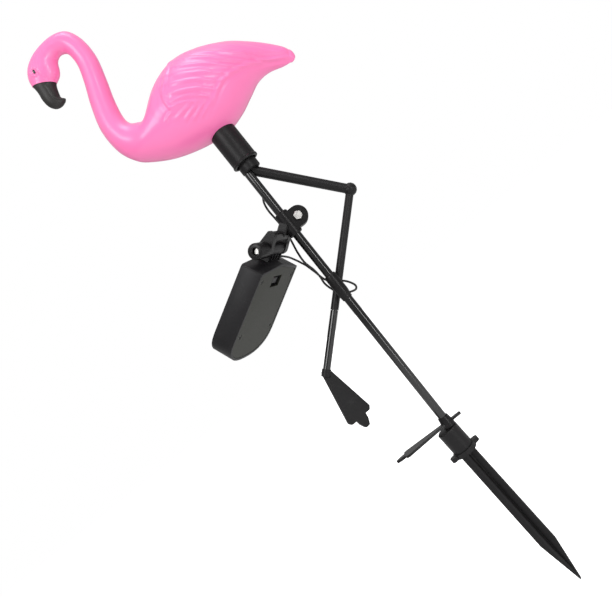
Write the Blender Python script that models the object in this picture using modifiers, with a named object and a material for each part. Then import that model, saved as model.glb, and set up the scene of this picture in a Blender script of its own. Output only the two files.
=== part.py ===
"""Solar garden flamingo on a pole with a ground stake.

Run with: blender --background --python part.py
Units are metres and Z is up. The pole stands along Z and the bird looks towards -X.
The origin is on the pole's axis at ground level, under the stake's flange.
"""

import math

import bmesh
import bpy
import numpy as np
from mathutils import Matrix, Vector

MM = 0.001
GAP = 0.3 * MM  # clearance between two touching pieces

# Pole and its joint
POLE_RADIUS = 4.75 * MM
POLE_FOOT_Z = 7.0 * MM
POLE_SPLIT_Z = 218.0 * MM
POLE_TOP_Z = 393.0 * MM
JOINT_BOTTOM_Z = 203.0 * MM
JOINT_TOP_Z = 234.5 * MM
JOINT_RADIUS = 6.7 * MM
JOINT_END_RADIUS = 5.5 * MM
JOINT_TAPER = 9.0 * MM

# Bird: each row is one section: back x, back z, belly x, belly z, half width
BIRD_SECTIONS_MM = (
    (-120.7, 582.4, -97.6, 570.8, 8.6),
    (-119.0, 590.6, -90.7, 574.8, 10.6),
    (-113.2, 599.2, -87.0, 580.0, 11.6),
    (-102.3, 606.3, -83.3, 587.3, 10.8),
    (-87.5, 610.5, -78.0, 591.0, 10.2),
    (-70.1, 611.1, -73.4, 590.4, 10.6),
    (-56.0, 605.0, -70.0, 587.0, 10.8),
    (-48.6, 589.2, -68.7, 579.7, 10.6),
    (-48.0, 567.0, -69.8, 568.0, 10.5),
    (-54.5, 541.8, -75.8, 550.3, 11.0),
    (-61.5, 519.9, -85.7, 526.2, 12.0),
    (-65.6, 500.0, -93.1, 500.0, 14.0),
    (-64.0, 489.0, -92.4, 473.8, 17.0),
    (-56.8, 483.2, -84.4, 455.6, 21.0),
    (-47.1, 481.3, -73.0, 445.0, 27.0),
    (-23.3, 499.5, -48.0, 431.0, 35.0),
    (2.9, 508.9, -16.0, 421.5, 41.0),
    (26.2, 507.4, 12.0, 419.0, 42.0),
    (49.1, 499.5, 34.0, 424.0, 38.0),
    (68.5, 490.1, 54.0, 433.0, 30.0),
    (85.3, 477.3, 68.9, 439.7, 22.0),
    (98.3, 465.8, 83.6, 440.2, 14.5),
    (109.6, 451.5, 99.2, 435.6, 9.0),
    (116.2, 442.2, 109.1, 433.6, 4.5),
)
TAIL_ROUNDING = 1.6 * MM
CHEST_ROW = 13
RINGS_PER_ROW = 2
BIRD_COLUMNS = 22

# Wing: each row is one feather edge: front x, front z, tip x, tip z
WING_ROWS_MM = (
    (46.0, 501.0, 106.0, 445.0),
    (28.0, 506.5, 85.0, 457.0),
    (13.0, 506.5, 73.0, 461.0),
    (1.0, 503.0, 58.0, 466.0),
    (-7.0, 498.5, 45.0, 467.0),
    (-14.0, 493.0, 33.0, 464.0),
    (-20.0, 485.0, 22.0, 460.0),
    (-23.5, 475.0, 13.0, 454.0),
    (-24.5, 457.0, 2.0, 446.5),
)
WING_COLUMNS = 8
WING_BASE = 0.7 * MM
WING_SHOULDER = 1.0 * MM
FEATHER_RISE = 1.1 * MM
FEATHER_BULGE = 0.05  # share of the feather's length that its round tip adds
FEATHER_ROWS = (0.0, 0.8)  # shares of a feather's width that carry a line of points
WING_DEPTH = 2.6 * MM

# Beak: outer x, outer z, inner x, inner z, half width
BEAK_SECTIONS_MM = (
    (-119.9, 573.6, -101.1, 565.7, 7.9),
    (-121.0, 564.3, -103.0, 559.9, 7.3),
    (-120.0, 555.8, -103.8, 556.4, 6.4),
    (-115.9, 549.6, -103.1, 554.3, 5.2),
    (-109.8, 547.6, -101.9, 553.1, 3.8),
    (-104.4, 548.7, -100.9, 551.8, 2.0),
)
BEAK_SHARE = 0.94  # the beak's base against the face it joins
BEAK_POINTS = 16
EYE_AT = (-108.1 * MM, 588.6 * MM)
EYE_RING_RADIUS = 3.6 * MM
EYE_RING_THICKNESS = 0.9 * MM
EYE_OUT = 10.3 * MM

# Socket under the bird, and the hip hub that plugs into it
SOCKET_X = 5.4 * MM
SOCKET_RADIUS = 14.5 * MM
SOCKET_BOTTOM_Z = 380.7 * MM
SOCKET_TOP_Z = 442.0 * MM
SOCKET_LIP = 0.6 * MM
SOCKET_LIP_HEIGHT = 2.4 * MM
SOCKET_RECESS_RADIUS = 12.4 * MM
SOCKET_RECESS_DEPTH = 6.0 * MM
HUB_BOTTOM_Z = 371.0 * MM
HUB_RADIUS = 10.9 * MM
HUB_HEIGHT = 7.0 * MM
SPIGOT_RADIUS = 10.0 * MM
SPIGOT_TOP_Z = 398.0 * MM

# Bent leg
THIGH_START = Vector((5.0 * MM, 4.0 * MM, HUB_BOTTOM_Z + 1.0 * MM))
THIGH_RADIUS = 5.4 * MM
THIGH_KNEE_RADIUS = 5.2 * MM
KNEE = Vector((75.2, 11.6, 292.0)) * MM
KNEE_RADIUS = 7.3 * MM
SHIN_RADIUS = 4.35 * MM
SHIN_SPLIT_Z = 201.8 * MM
SHIN_SPIGOT = 9.0 * MM
TUBE_RADIUS = 4.1 * MM
ANKLE = Vector((-67.2, 11.6, 154.6)) * MM
SHIN_EYE_RADIUS = 6.0 * MM
SHIN_EYE_Z = 219.5 * MM

# Webbed feet
FOOT_LENGTH = 72.0 * MM
FOOT_SIDE_TOE = 60.0 * MM
FOOT_NOTCH = 60.5 * MM
FOOT_HALF_SPREAD = 16.0 * MM
FOOT_HEEL = 4.0 * MM
TOE_RADIUS = 2.2 * MM
FOOT_THICKNESS = 3.6 * MM
HANGING_FOOT_TURN = math.radians(24.0)
HANGING_FOOT_LEAN = math.radians(0.6)
STANDING_FOOT_Z = 36.0 * MM
STANDING_FOOT_LENGTH = 67.0 * MM
STANDING_FOOT_ROLL = math.radians(7.0)
STANDING_FOOT_THICKNESS = 2.6 * MM
STANDING_HUB_RADIUS = 7.2 * MM
STANDING_HUB_HEIGHT = 8.0 * MM
HEEL_SPUR = 17.5 * MM
HEEL_RADIUS = 3.4 * MM

# Ground stake: its own axis leans a little from the pole's
STAKE_LEAN = math.radians(3.35)
STAKE_X = -2.8 * MM
COLLAR_RADIUS = 12.0 * MM
COLLAR_TOP = 31.0 * MM
FLANGE_RADIUS = 13.4 * MM
FLANGE_HEIGHT = 5.2 * MM
LUG_REACH = 19.0 * MM
LUG_WIDTH = 9.0 * MM
LUG_ANGLE = math.radians(8.0)
FIN_TOP_RADIUS = 9.1 * MM
FIN_SHOULDER_RADIUS = 9.5 * MM
FIN_SHOULDER = 128.0 * MM
STAKE_LENGTH = 180.0 * MM
FIN_THICKNESS = 2.6 * MM
FIN_TURN = math.radians(20.0)
FIN_STEP = 3.0 * MM  # how much higher the second fin ends
STAKE_CORE_RADIUS = 2.6 * MM

# Clamp on the pole, with the fork that carries the panel
CLAMP_BOTTOM_Z = 289.0 * MM
CLAMP_TOP_Z = 317.0 * MM
CLAMP_RADIUS = 7.8 * MM
EAR_AT = Vector((CLAMP_RADIUS + 5.0 * MM, 0.0, (CLAMP_BOTTOM_Z + CLAMP_TOP_Z) / 2))
EAR_RADIUS = 10.9 * MM
EAR_THICKNESS = 13.0 * MM
CLAMP_SLIT = 1.8 * MM
CLAMP_BOLT_RADIUS = 2.5 * MM
CLAMP_BOLT_HEAD = 4.9 * MM
CLAMP_BOLT_HEAD_HEIGHT = 3.4 * MM

# Hinge: local X runs along its axis, local Y down the panel, local Z out of the solar face
HINGE_AT = Vector((-28.6, -0.3, 292.8)) * MM
PANEL_TURN = (math.radians(-26.7), math.radians(6.1), math.radians(66.4))
FORK_TILT = math.radians(-5.5)
FORK_HALF = 22.0 * MM
ARM_THICKNESS = 7.0 * MM
ARM_RADIUS = 8.0 * MM
FORK_REACH = 20.0 * MM
FORK_DEPTH = 8.0 * MM
FORK_SINK = 2.5 * MM  # how far the web lies below the pin's plane
WEB_INSIDE = 10.5 * MM
KNUCKLE_RADIUS = 6.8 * MM
HINGE_BOLT_RADIUS = 2.3 * MM
KNOB_RADIUS = 8.5 * MM
KNOB_LENGTH = 20.5 * MM
KNOB_RECESS_RADIUS = 4.0 * MM
KNOB_RECESS_DEPTH = 8.0 * MM
BOLT_HEAD_RADIUS = 3.4 * MM
BOLT_HEAD_HEIGHT = 3.0 * MM
HINGE_NUT_RADIUS = 4.6 * MM
HINGE_NUT_HEIGHT = 3.2 * MM

# Panel, in the hinge's frame
PANEL_TOP = 17.0 * MM
PANEL_BACK = -16.8 * MM
PANEL_THICKNESS = 24.4 * MM
PANEL_TOP_HALF = 44.6 * MM
PANEL_HALF = 46.5 * MM
PANEL_STRAIGHT = 79.5 * MM
PANEL_LENGTH = 109.0 * MM
PANEL_ROOF = 7.2 * MM
PANEL_END_POWER = 2.4
PANEL_END_STEPS = 8
PANEL_EDGE = 1.2 * MM
COVER_INSET = 2.8 * MM
COVER_DEPTH = 2.2 * MM
CELL_INSET = 3.4 * MM
CELL_DEPTH = 1.3 * MM
SWITCH_SIZE = (20.0 * MM, 13.0 * MM)
SWITCH_DOWN = 13.4 * MM
SWITCH_POCKET = 6.5 * MM
BUTTON_SIZE = (11.0 * MM, 7.0 * MM, 4.2 * MM)
SCREW_EDGE = 8.6 * MM  # from the side of the panel's top to a screw
SCREW_FROM_TOP = 9.7 * MM
SCREW_FROM_BEND = 5.0 * MM  # from the lower screws to where the end starts to bow
SCREW_HOLE_RADIUS = 2.8 * MM
SCREW_HEAD_RADIUS = 2.4 * MM
SCREW_HEAD_HEIGHT = 1.3 * MM
RIB_COUNT = 5
RIB_THICKNESS = 2.6 * MM
GLAND_RADIUS = 2.7 * MM
GLAND_LENGTH = 8.0 * MM
GLAND_AT = Vector((FORK_HALF - 6.4 * MM, ARM_RADIUS + 2 * GAP + GLAND_RADIUS, -1.0 * MM))
GLAND_DIRECTION = Vector((1.0, 0.0, 0.0))  # along the hinge, so that its end slides past the lead

# Lead from the panel round the joint and up into the pole
LEAD_RADIUS = 1.15 * MM
LEAD_HOLE_AT = Vector((0.0, POLE_RADIUS, 347.6 * MM))
LEAD_HOLE_DIRECTION = Vector((0.25, -0.72, 0.65)).normalized()
LEAD_HOLE_DEPTH = 2.6 * MM
LEAD_POINTS = 54
LEAD_ROUTE_MM = (
    (-21.8, 36.5, 279.6),
    (-19.4, 42.8, 276.9),
    (-17.2, 46.3, 273.3),
    (-15.0, 47.0, 269.1),
    (-13.0, 45.6, 264.4),
    (-11.1, 43.0, 259.6),
    (-9.6, 39.0, 253.4),
    (-8.1, 33.5, 246.5),
    (-6.8, 26.5, 238.7),
    (-4.9, 21.0, 232.6),
    (-0.5, 19.2, 226.5),
    (7.5, 19.0, 221.5),
    (12.5, 16.5, 216.0),
    (15.8, 13.5, 208.8),
    (13.8, 11.5, 205.0),
    (8.5, 10.8, 205.8),
    (2.5, 13.0, 209.0),
    (-3.0, 18.8, 214.0),
    (-6.8, 18.6, 222.5),
    (-8.8, 14.0, 231.0),
    (-8.2, 10.5, 239.0),
    (-9.0, 9.0, 249.0),
    (-11.7, 9.2, 261.5),
    (-10.8, 12.5, 274.5),
    (-8.5, 19.5, 286.0),
    (-6.5, 24.5, 297.0),
    (-6.0, 21.5, 308.5),
    (-6.8, 14.0, 318.5),
    (-7.4, 9.2, 329.0),
    (-5.6, 7.8, 338.5),
)

CUTTERS = "cutters"
OBJECT_NAME = "solar_flamingo_garden_light"


def clear_scene():
    """Removes what the start-up file holds and makes the two collections."""
    for obj in list(bpy.data.objects):
        bpy.data.objects.remove(obj, do_unlink=True)
    for name in (OBJECT_NAME, CUTTERS):
        collection = bpy.data.collections.new(name)
        bpy.context.scene.collection.children.link(collection)


def make_material(name, colour, roughness, metallic=0.0):
    """A Principled material with one linear colour."""
    material = bpy.data.materials.new(name)
    material.use_nodes = True
    shader = material.node_tree.nodes["Principled BSDF"]
    shader.inputs["Base Color"].default_value = (*colour, 1.0)
    shader.inputs["Roughness"].default_value = roughness
    shader.inputs["Metallic"].default_value = metallic
    material.diffuse_color = (*colour, 1.0)
    return material


def link(obj, collection=OBJECT_NAME):
    """Puts a new object in one of the two collections."""
    bpy.data.collections[collection].objects.link(obj)
    return obj


def make_object(name, bm, material=None, parent=None):
    """Makes an object of a bmesh, with its faces turned outwards."""
    bmesh.ops.recalc_face_normals(bm, faces=bm.faces)
    mesh = bpy.data.meshes.new(name)
    bm.to_mesh(mesh)
    bm.free()
    obj = bpy.data.objects.new(name, mesh)
    if material:
        mesh.materials.append(material)
        link(obj)
    else:
        link(obj, CUTTERS)
        obj.hide_render = True
        obj.display_type = "WIRE"
    obj.parent = parent
    return obj


def along(start, direction):
    """Matrix that carries the Z axis onto a direction and the origin to a start."""
    turn = Vector((0.0, 0.0, 1.0)).rotation_difference(Vector(direction)).to_matrix().to_4x4()
    return Matrix.Translation(start) @ turn


def rod(name, start, end, radius, end_radius=None, material=None, parent=None, segments=20):
    """Cylinder or cone between two points."""
    start, end = Vector(start), Vector(end)
    depth = (end - start).length
    bm = bmesh.new()
    bmesh.ops.create_cone(
        bm,
        cap_ends=True,
        segments=segments,
        radius1=radius,
        radius2=radius if end_radius is None else end_radius,
        depth=depth,
        matrix=along((start + end) / 2, end - start),
    )
    return make_object(name, bm, material, parent)


def block(name, low, high, material=None, parent=None):
    """Box between two opposite corners."""
    low, high = Vector(low), Vector(high)
    size = high - low
    place = Matrix.Translation((low + high) / 2) @ Matrix.Diagonal((*size, 1.0))
    bm = bmesh.new()
    bmesh.ops.create_cube(bm, size=1.0, matrix=place)
    return make_object(name, bm, material, parent)


def ball(name, centre, radius, material=None, parent=None, segments=16, rings=8):
    """Sphere."""
    bm = bmesh.new()
    bmesh.ops.create_uvsphere(
        bm,
        u_segments=segments,
        v_segments=rings,
        radius=radius,
        matrix=Matrix.Translation(centre),
    )
    return make_object(name, bm, material, parent)


def turned(name, profile, material=None, parent=None, steps=24, closed=False):
    """Profile of (radius, height) pairs, outer side from top to bottom, turned about Z."""
    bm = bmesh.new()
    points = [bm.verts.new((radius, 0.0, height)) for radius, height in profile]
    for first, second in zip(points, points[1:]):
        bm.edges.new((first, second))
    if closed:
        bm.edges.new((points[-1], points[0]))
    obj = make_object(name, bm, material, parent)
    screw = obj.modifiers.new("turn", "SCREW")
    screw.axis = "Z"
    screw.angle = math.tau
    screw.steps = steps
    screw.render_steps = steps
    screw.use_merge_vertices = True
    screw.merge_threshold = 0.00001
    return obj


def fuse(target, *pieces):
    """Joins helper solids to a solid."""
    for piece in pieces:
        boolean(target, piece, "UNION")
    return target


def cut(target, *pieces):
    """Takes helper solids out of a solid."""
    for piece in pieces:
        boolean(target, piece, "DIFFERENCE")
    return target


def boolean(target, piece, operation):
    """Adds one exact Boolean."""
    modifier = target.modifiers.new(f"{operation.lower()}_{piece.name}", "BOOLEAN")
    modifier.operation = operation
    modifier.solver = "EXACT"
    modifier.object = piece


def bevel(obj, width, segments=1, angle=40.0):
    """Rounds the edges sharper than an angle."""
    modifier = obj.modifiers.new("edges", "BEVEL")
    modifier.width = width
    modifier.segments = segments
    modifier.limit_method = "ANGLE"
    modifier.angle_limit = math.radians(angle)
    modifier.use_clamp_overlap = True
    return obj


def smooth(obj, angle=35.0):
    """Smooth shading with the sharper edges kept."""
    obj.data.shade_smooth()
    obj.data.set_sharp_from_angle(angle=math.radians(angle))
    return obj


def rounded_outline(corners, steps=4):
    """Closed outline through (x, y, radius) corners, each rounded by an arc of its radius."""
    outline = []
    count = len(corners)
    for i, (x, y, radius) in enumerate(corners):
        corner = Vector((x, y))
        before = (Vector(corners[i - 1][:2]) - corner).normalized()
        after = (Vector(corners[(i + 1) % count][:2]) - corner).normalized()
        if radius <= 0.0:
            outline.append(corner)
            continue
        half = before.angle(after) / 2
        reach = radius / math.tan(half)
        centre = corner + (before + after).normalized() * radius / math.sin(half)
        start = corner + before * reach - centre
        sweep = math.pi - 2 * half
        turn = 1.0 if before.x * after.y - before.y * after.x < 0.0 else -1.0
        for step in range(steps + 1):
            angle = turn * sweep * step / steps
            rotated = Matrix.Rotation(angle, 2) @ start
            outline.append(centre + rotated)
    return outline


def plate(name, outline, thickness, material=None, parent=None):
    """Flat plate of an outline, centred on the XY plane."""
    curve = bpy.data.curves.new(name, "CURVE")
    curve.dimensions = "2D"
    curve.fill_mode = "BOTH"
    curve.extrude = thickness / 2
    spline = curve.splines.new("POLY")
    spline.points.add(len(outline) - 1)
    for point, place in zip(spline.points, outline):
        point.co = (place[0], place[1], 0.0, 1.0)
    spline.use_cyclic_u = True
    flat = link(bpy.data.objects.new(name + "_curve", curve), CUTTERS)
    graph = bpy.context.evaluated_depsgraph_get()
    mesh = bpy.data.meshes.new_from_object(flat.evaluated_get(graph))
    bm = bmesh.new()
    bm.from_mesh(mesh)
    bmesh.ops.remove_doubles(bm, verts=bm.verts, dist=0.000001)
    bpy.data.objects.remove(flat, do_unlink=True)
    bpy.data.meshes.remove(mesh)
    bpy.data.curves.remove(curve)
    return make_object(name, bm, material, parent)


def loft(name, rings, material=None):
    """Closed body through rings of equally many points, with flat ends."""
    bm = bmesh.new()
    rows = [[bm.verts.new(point) for point in ring] for ring in rings]
    count = len(rings[0])
    for first, second in zip(rows, rows[1:]):
        for i in range(count):
            j = (i + 1) % count
            bm.faces.new((first[i], first[j], second[j], second[i]))
    bm.faces.new(rows[0])
    bm.faces.new(list(reversed(rows[-1])))
    return make_object(name, bm, material)


def section_at(rows, place):
    """Smooth value between rows: Catmull-Rom through them, place counted in rows."""
    last = len(rows) - 1
    i = min(int(place), last - 1)
    t = place - i
    p0, p1, p2, p3 = (rows[min(max(i + k, 0), last)] for k in (-1, 0, 1, 2))
    return 0.5 * (
        2 * p1 + (p2 - p0) * t + (2 * p0 - 5 * p1 + 4 * p2 - p3) * t**2 + (3 * p1 - p0 - 3 * p2 + p3) * t**3
    )


def section_ring(section, points, share=1.0):
    """Ring of an elliptical section: its height lies in the XZ plane and its width along Y."""
    top, under = section[:2], section[2:4]
    centre, half = (top + under) / 2, (top - under) / 2 * share
    ring = []
    for k in range(points):
        angle = math.tau * k / points
        x, z = centre + half * math.cos(angle)
        ring.append(Vector((x, section[4] * share * math.sin(angle), z)))
    return ring


def bird_rows():
    return np.array(BIRD_SECTIONS_MM) * MM


def flank_point(x, z, lift):
    """Point of the bird's +Y side that is seen at x, z, moved outwards along its normal."""
    rows = bird_rows()

    def side(place):
        section = section_at(rows, place)
        chord, offset = section[2:4] - section[:2], np.array((x, z)) - section[:2]
        return chord[0] * offset[1] - chord[1] * offset[0]

    low, high = float(CHEST_ROW), float(len(rows) - 1)
    low_side = side(low)
    for _ in range(40):
        middle = (low + high) / 2
        if side(middle) * low_side > 0.0:
            low = middle
        else:
            high = middle
    section = section_at(rows, low)
    centre, half = (section[:2] + section[2:4]) / 2, (section[:2] - section[2:4]) / 2
    height = np.linalg.norm(half)
    up = half / height
    share = float(np.clip((np.array((x, z)) - centre) @ up / height, -0.97, 0.97))
    out = math.sqrt(1.0 - share * share)
    width = section[4]
    normal = Vector((up[0] * share / height, out / width, up[1] * share / height)).normalized()
    return Vector((x, width * out, z)) + normal * lift


def wing_lift(row_share, along_share):
    """Height of the wing above the body: a raised front edge, and feathers that overlap downwards."""
    shoulder = WING_SHOULDER * max(0.0, 1.0 - along_share / 0.12)
    return WING_BASE + shoulder + FEATHER_RISE * row_share


def wing_grid(depth):
    """Rows of points over the wing. A depth gives the hidden side, that far under the skin."""
    rows = np.array(WING_ROWS_MM) * MM
    grid = []
    feathers = len(rows) - 1
    for feather in range(feathers):
        shares = FEATHER_ROWS if feather < feathers - 1 else (*FEATHER_ROWS, 1.0)
        for share in shares:
            front, tip = np.split(rows[feather] * (1.0 - share) + rows[feather + 1] * share, 2)
            reach = 1.0 + FEATHER_BULGE * (1.0 - (2.0 * share - 0.8) ** 2)
            line = []
            for column in range(WING_COLUMNS + 1):
                t = column / WING_COLUMNS
                x, z = front + (tip - front) * t * reach
                lift = -depth if depth else wing_lift(share, t)
                line.append(flank_point(x, z, lift))
            grid.append(line)
    return grid


def wing(name, mirrored):
    """Helper solid of one wing: the feathered face, a face inside the body and the rim between."""
    sides = [wing_grid(0.0), wing_grid(WING_DEPTH)]
    bm = bmesh.new()
    made = []
    for grid in sides:
        made.append([[bm.verts.new((p.x, -p.y if mirrored else p.y, p.z)) for p in line] for line in grid])
    rows, columns = len(made[0]), len(made[0][0])
    for grid in made:
        for i in range(rows - 1):
            for j in range(columns - 1):
                bm.faces.new((grid[i][j], grid[i][j + 1], grid[i + 1][j + 1], grid[i + 1][j]))
    rim = [(0, j) for j in range(columns)]
    rim += [(i, columns - 1) for i in range(1, rows)]
    rim += [(rows - 1, j) for j in range(columns - 2, -1, -1)]
    rim += [(i, 0) for i in range(rows - 2, 0, -1)]
    outer, inner = made
    for (i, j), (k, m) in zip(rim, rim[1:] + rim[:1]):
        bm.faces.new((outer[i][j], outer[k][m], inner[k][m], inner[i][j]))
    return make_object(name, bm)


def make_bird(material):
    """Head, neck, body and tail in one moulding, with a wing on each side."""
    rows = bird_rows()
    steps = (len(rows) - 1) * RINGS_PER_ROW
    rings = [section_ring(section_at(rows, k / RINGS_PER_ROW), BIRD_COLUMNS) for k in range(steps + 1)]
    tail = section_ring(rows[-1], BIRD_COLUMNS, 0.55)
    direction = Vector((0.78, 0.0, -0.62))
    rings.append([point + direction * TAIL_ROUNDING for point in tail])
    bird = loft("flamingo_body", rings, material)
    fuse(bird, wing("wing_left", True), wing("wing_right", False))
    for name, side in (("eye_ring_left", -1.0), ("eye_ring_right", 1.0)):
        centre = Vector((EYE_AT[0], side * EYE_OUT, EYE_AT[1]))
        bm = bmesh.new()
        bmesh.ops.create_uvsphere(
            bm,
            u_segments=14,
            v_segments=6,
            radius=EYE_RING_RADIUS,
            matrix=Matrix.Translation(centre) @ Matrix.Diagonal((1.0, EYE_RING_THICKNESS / EYE_RING_RADIUS, 1.0, 1.0)),
        )
        fuse(bird, make_object(name, bm))
    bore = rod(
        "socket_bore",
        (SOCKET_X, 0.0, SOCKET_BOTTOM_Z),
        (SOCKET_X, 0.0, SOCKET_TOP_Z + GAP),
        SOCKET_RADIUS + GAP,
        segments=28,
    )
    cut(bird, bore)
    return smooth(bird, 50.0)


def make_beak(material):
    """Hooked bill, a little smaller than the face it joins."""
    face = bird_rows()[0]
    chord = Vector((face[0] - face[2], 0.0, face[1] - face[3])).normalized()
    down = Vector((-chord.z, 0.0, chord.x))
    base = [point + down * GAP for point in section_ring(face, BEAK_POINTS, BEAK_SHARE)]
    rows = np.array(BEAK_SECTIONS_MM) * MM
    rings = [base]
    rings += [section_ring(section_at(rows, k / 2), BEAK_POINTS) for k in range(2 * len(rows) - 1)]
    return smooth(loft("beak", rings, material), 50.0)


def make_socket(material):
    """Socket moulded to take the hip, plugged up into the belly."""
    recess = SOCKET_BOTTOM_Z + SOCKET_RECESS_DEPTH
    profile = [
        (0.0, SOCKET_TOP_Z),
        (SOCKET_RADIUS, SOCKET_TOP_Z),
        (SOCKET_RADIUS, SOCKET_BOTTOM_Z + SOCKET_LIP_HEIGHT + SOCKET_LIP),
        (SOCKET_RADIUS + SOCKET_LIP, SOCKET_BOTTOM_Z + SOCKET_LIP_HEIGHT),
        (SOCKET_RADIUS + SOCKET_LIP, SOCKET_BOTTOM_Z + SOCKET_LIP),
        (SOCKET_RADIUS, SOCKET_BOTTOM_Z),
        (SOCKET_RECESS_RADIUS, SOCKET_BOTTOM_Z),
        (SOCKET_RECESS_RADIUS, recess),
        (SPIGOT_RADIUS + GAP, recess),
        (SPIGOT_RADIUS + GAP, SPIGOT_TOP_Z + GAP),
        (0.0, SPIGOT_TOP_Z + GAP),
    ]
    socket = turned("pole_socket", profile, material)
    socket.location.x = SOCKET_X
    return smooth(socket)


def shin_point(height):
    """Point of the shin's centre line at a height."""
    share = (height - ANKLE.z) / (KNEE.z - ANKLE.z)
    return ANKLE.lerp(KNEE, share)


def make_leg(material):
    """Hip hub, thigh, knee and upper shin in one moulding."""
    hub_top = HUB_BOTTOM_Z + HUB_HEIGHT
    profile = [
        (0.0, SPIGOT_TOP_Z),
        (SPIGOT_RADIUS - MM, SPIGOT_TOP_Z),
        (SPIGOT_RADIUS, SPIGOT_TOP_Z - MM),
        (SPIGOT_RADIUS, hub_top),
        (HUB_RADIUS, hub_top),
        (HUB_RADIUS, HUB_BOTTOM_Z + 0.6 * MM),
        (HUB_RADIUS - 0.6 * MM, HUB_BOTTOM_Z),
        (0.0, HUB_BOTTOM_Z),
    ]
    leg = turned("bent_leg", profile, material)
    leg.location.x = SOCKET_X
    split = shin_point(SHIN_SPLIT_Z)
    down = (split - KNEE).normalized()
    thigh = rod("thigh", THIGH_START, KNEE, THIGH_RADIUS, THIGH_KNEE_RADIUS)
    shin = rod("shin", KNEE, split, SHIN_RADIUS)
    bore = rod(
        "shin_bore",
        split - down * (SHIN_SPIGOT + GAP),
        split + down * MM,
        TUBE_RADIUS - 1.2 * MM + GAP,
        segments=24,
    )
    fuse(leg, thigh, ball("knee", KNEE, KNEE_RADIUS), shin)
    cut(leg, bore, pole_clearance("leg_pole_bore", THIGH_START.z - 60 * MM, POLE_TOP_Z + GAP))
    return smooth(leg)


def pole_clearance(name, bottom, top):
    """Bore that leaves the pole free between two heights."""
    return rod(name, (0.0, 0.0, bottom), (0.0, 0.0, top), POLE_RADIUS + GAP)


def make_shin_tube(material):
    """Lower shin, plugged into the upper one and into the foot."""
    split = shin_point(SHIN_SPLIT_Z)
    down = (ANKLE - KNEE).normalized()
    tube = rod("shin_tube", split + down * GAP, ANKLE + down * 2.0 * MM, TUBE_RADIUS, material=material)
    spigot = rod("shin_spigot", split - down * SHIN_SPIGOT, split + down * MM, TUBE_RADIUS - 1.2 * MM, segments=24)
    return smooth(fuse(tube, spigot))


def foot_outline(length, heel, heel_radius):
    """Webbed foot seen from above: heel at the origin, middle toe along +X."""
    scale = length / FOOT_LENGTH
    spread = FOOT_HALF_SPREAD
    side, notch = FOOT_SIDE_TOE * scale, FOOT_NOTCH * scale
    half = [
        (length, 0.17 * spread, TOE_RADIUS * 0.8),
        (notch + 5 * MM, 0.37 * spread, TOE_RADIUS),
        (notch - 0.5 * MM, 0.42 * spread, 0.8 * MM),
        (side, 0.82 * spread, TOE_RADIUS * 0.7),
        (side - 3.5 * MM, spread, TOE_RADIUS),
        (0.0, heel_radius + 0.9 * MM, 1.5 * MM),
        (-heel, heel_radius, heel_radius * 0.6),
    ]
    return rounded_outline(half + [(x, -y, radius) for x, y, radius in reversed(half)])


def make_hanging_foot(material):
    """Flat webbed foot at the end of the bent leg."""
    foot = plate("hanging_foot", foot_outline(FOOT_LENGTH, FOOT_HEEL, TUBE_RADIUS), FOOT_THICKNESS, material)
    foot.location = ANKLE
    down = Matrix(((0.0, 1.0, 0.0), (0.0, 0.0, -1.0), (-1.0, 0.0, 0.0)))
    turn = Matrix.Rotation(HANGING_FOOT_TURN, 3, "Z") @ Matrix.Rotation(HANGING_FOOT_LEAN, 3, "Y")
    foot.rotation_euler = (turn @ down).to_euler()
    axis = (ANKLE - KNEE).normalized()
    boss = rod("ankle_boss", ANKLE - axis * 4 * MM, ANKLE + axis * 4 * MM, TUBE_RADIUS + 0.9 * MM)
    bore = rod("ankle_bore", ANKLE - axis * 9 * MM, ANKLE + axis * (2 * MM + GAP), TUBE_RADIUS + GAP)
    fuse(foot, boss)
    cut(foot, bore)
    return smooth(foot)


def make_standing_foot(material):
    """Webbed foot square to the pole, with a flared hub that the pole passes through."""
    outline = foot_outline(STANDING_FOOT_LENGTH, HEEL_SPUR, HEEL_RADIUS)
    foot = plate("standing_foot", outline, STANDING_FOOT_THICKNESS, material)
    foot.location.z = STANDING_FOOT_Z
    foot.rotation_euler = (STANDING_FOOT_ROLL, 0.0, math.pi)
    middle = (0.0, 0.0, STANDING_FOOT_Z)
    hub = rod("foot_hub", middle, (0.0, 0.0, STANDING_FOOT_Z + STANDING_HUB_HEIGHT), STANDING_HUB_RADIUS, POLE_RADIUS + MM)
    seat = rod("foot_seat", (0.0, 0.0, COLLAR_TOP + 3 * GAP), middle, STANDING_HUB_RADIUS)
    fuse(foot, hub, seat)
    cut(foot, pole_clearance("foot_bore", COLLAR_TOP - MM, STANDING_FOOT_Z + 12 * MM))
    return smooth(foot)


def make_poles(material):
    """Lower and upper pole, which meet inside the joint."""
    lower = rod("lower_pole", (0.0, 0.0, POLE_FOOT_Z), (0.0, 0.0, POLE_SPLIT_Z - GAP / 2), POLE_RADIUS, material=material)
    upper = rod("upper_pole", (0.0, 0.0, POLE_SPLIT_Z + GAP / 2), (0.0, 0.0, POLE_TOP_Z), POLE_RADIUS, material=material)
    hole = rod(
        "lead_hole",
        LEAD_HOLE_AT - LEAD_HOLE_DIRECTION * 4 * MM,
        LEAD_HOLE_AT + LEAD_HOLE_DIRECTION * (LEAD_HOLE_DEPTH + GAP),
        LEAD_RADIUS + GAP,
        segments=16,
    )
    cut(upper, hole)
    return smooth(lower), smooth(upper)


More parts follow.
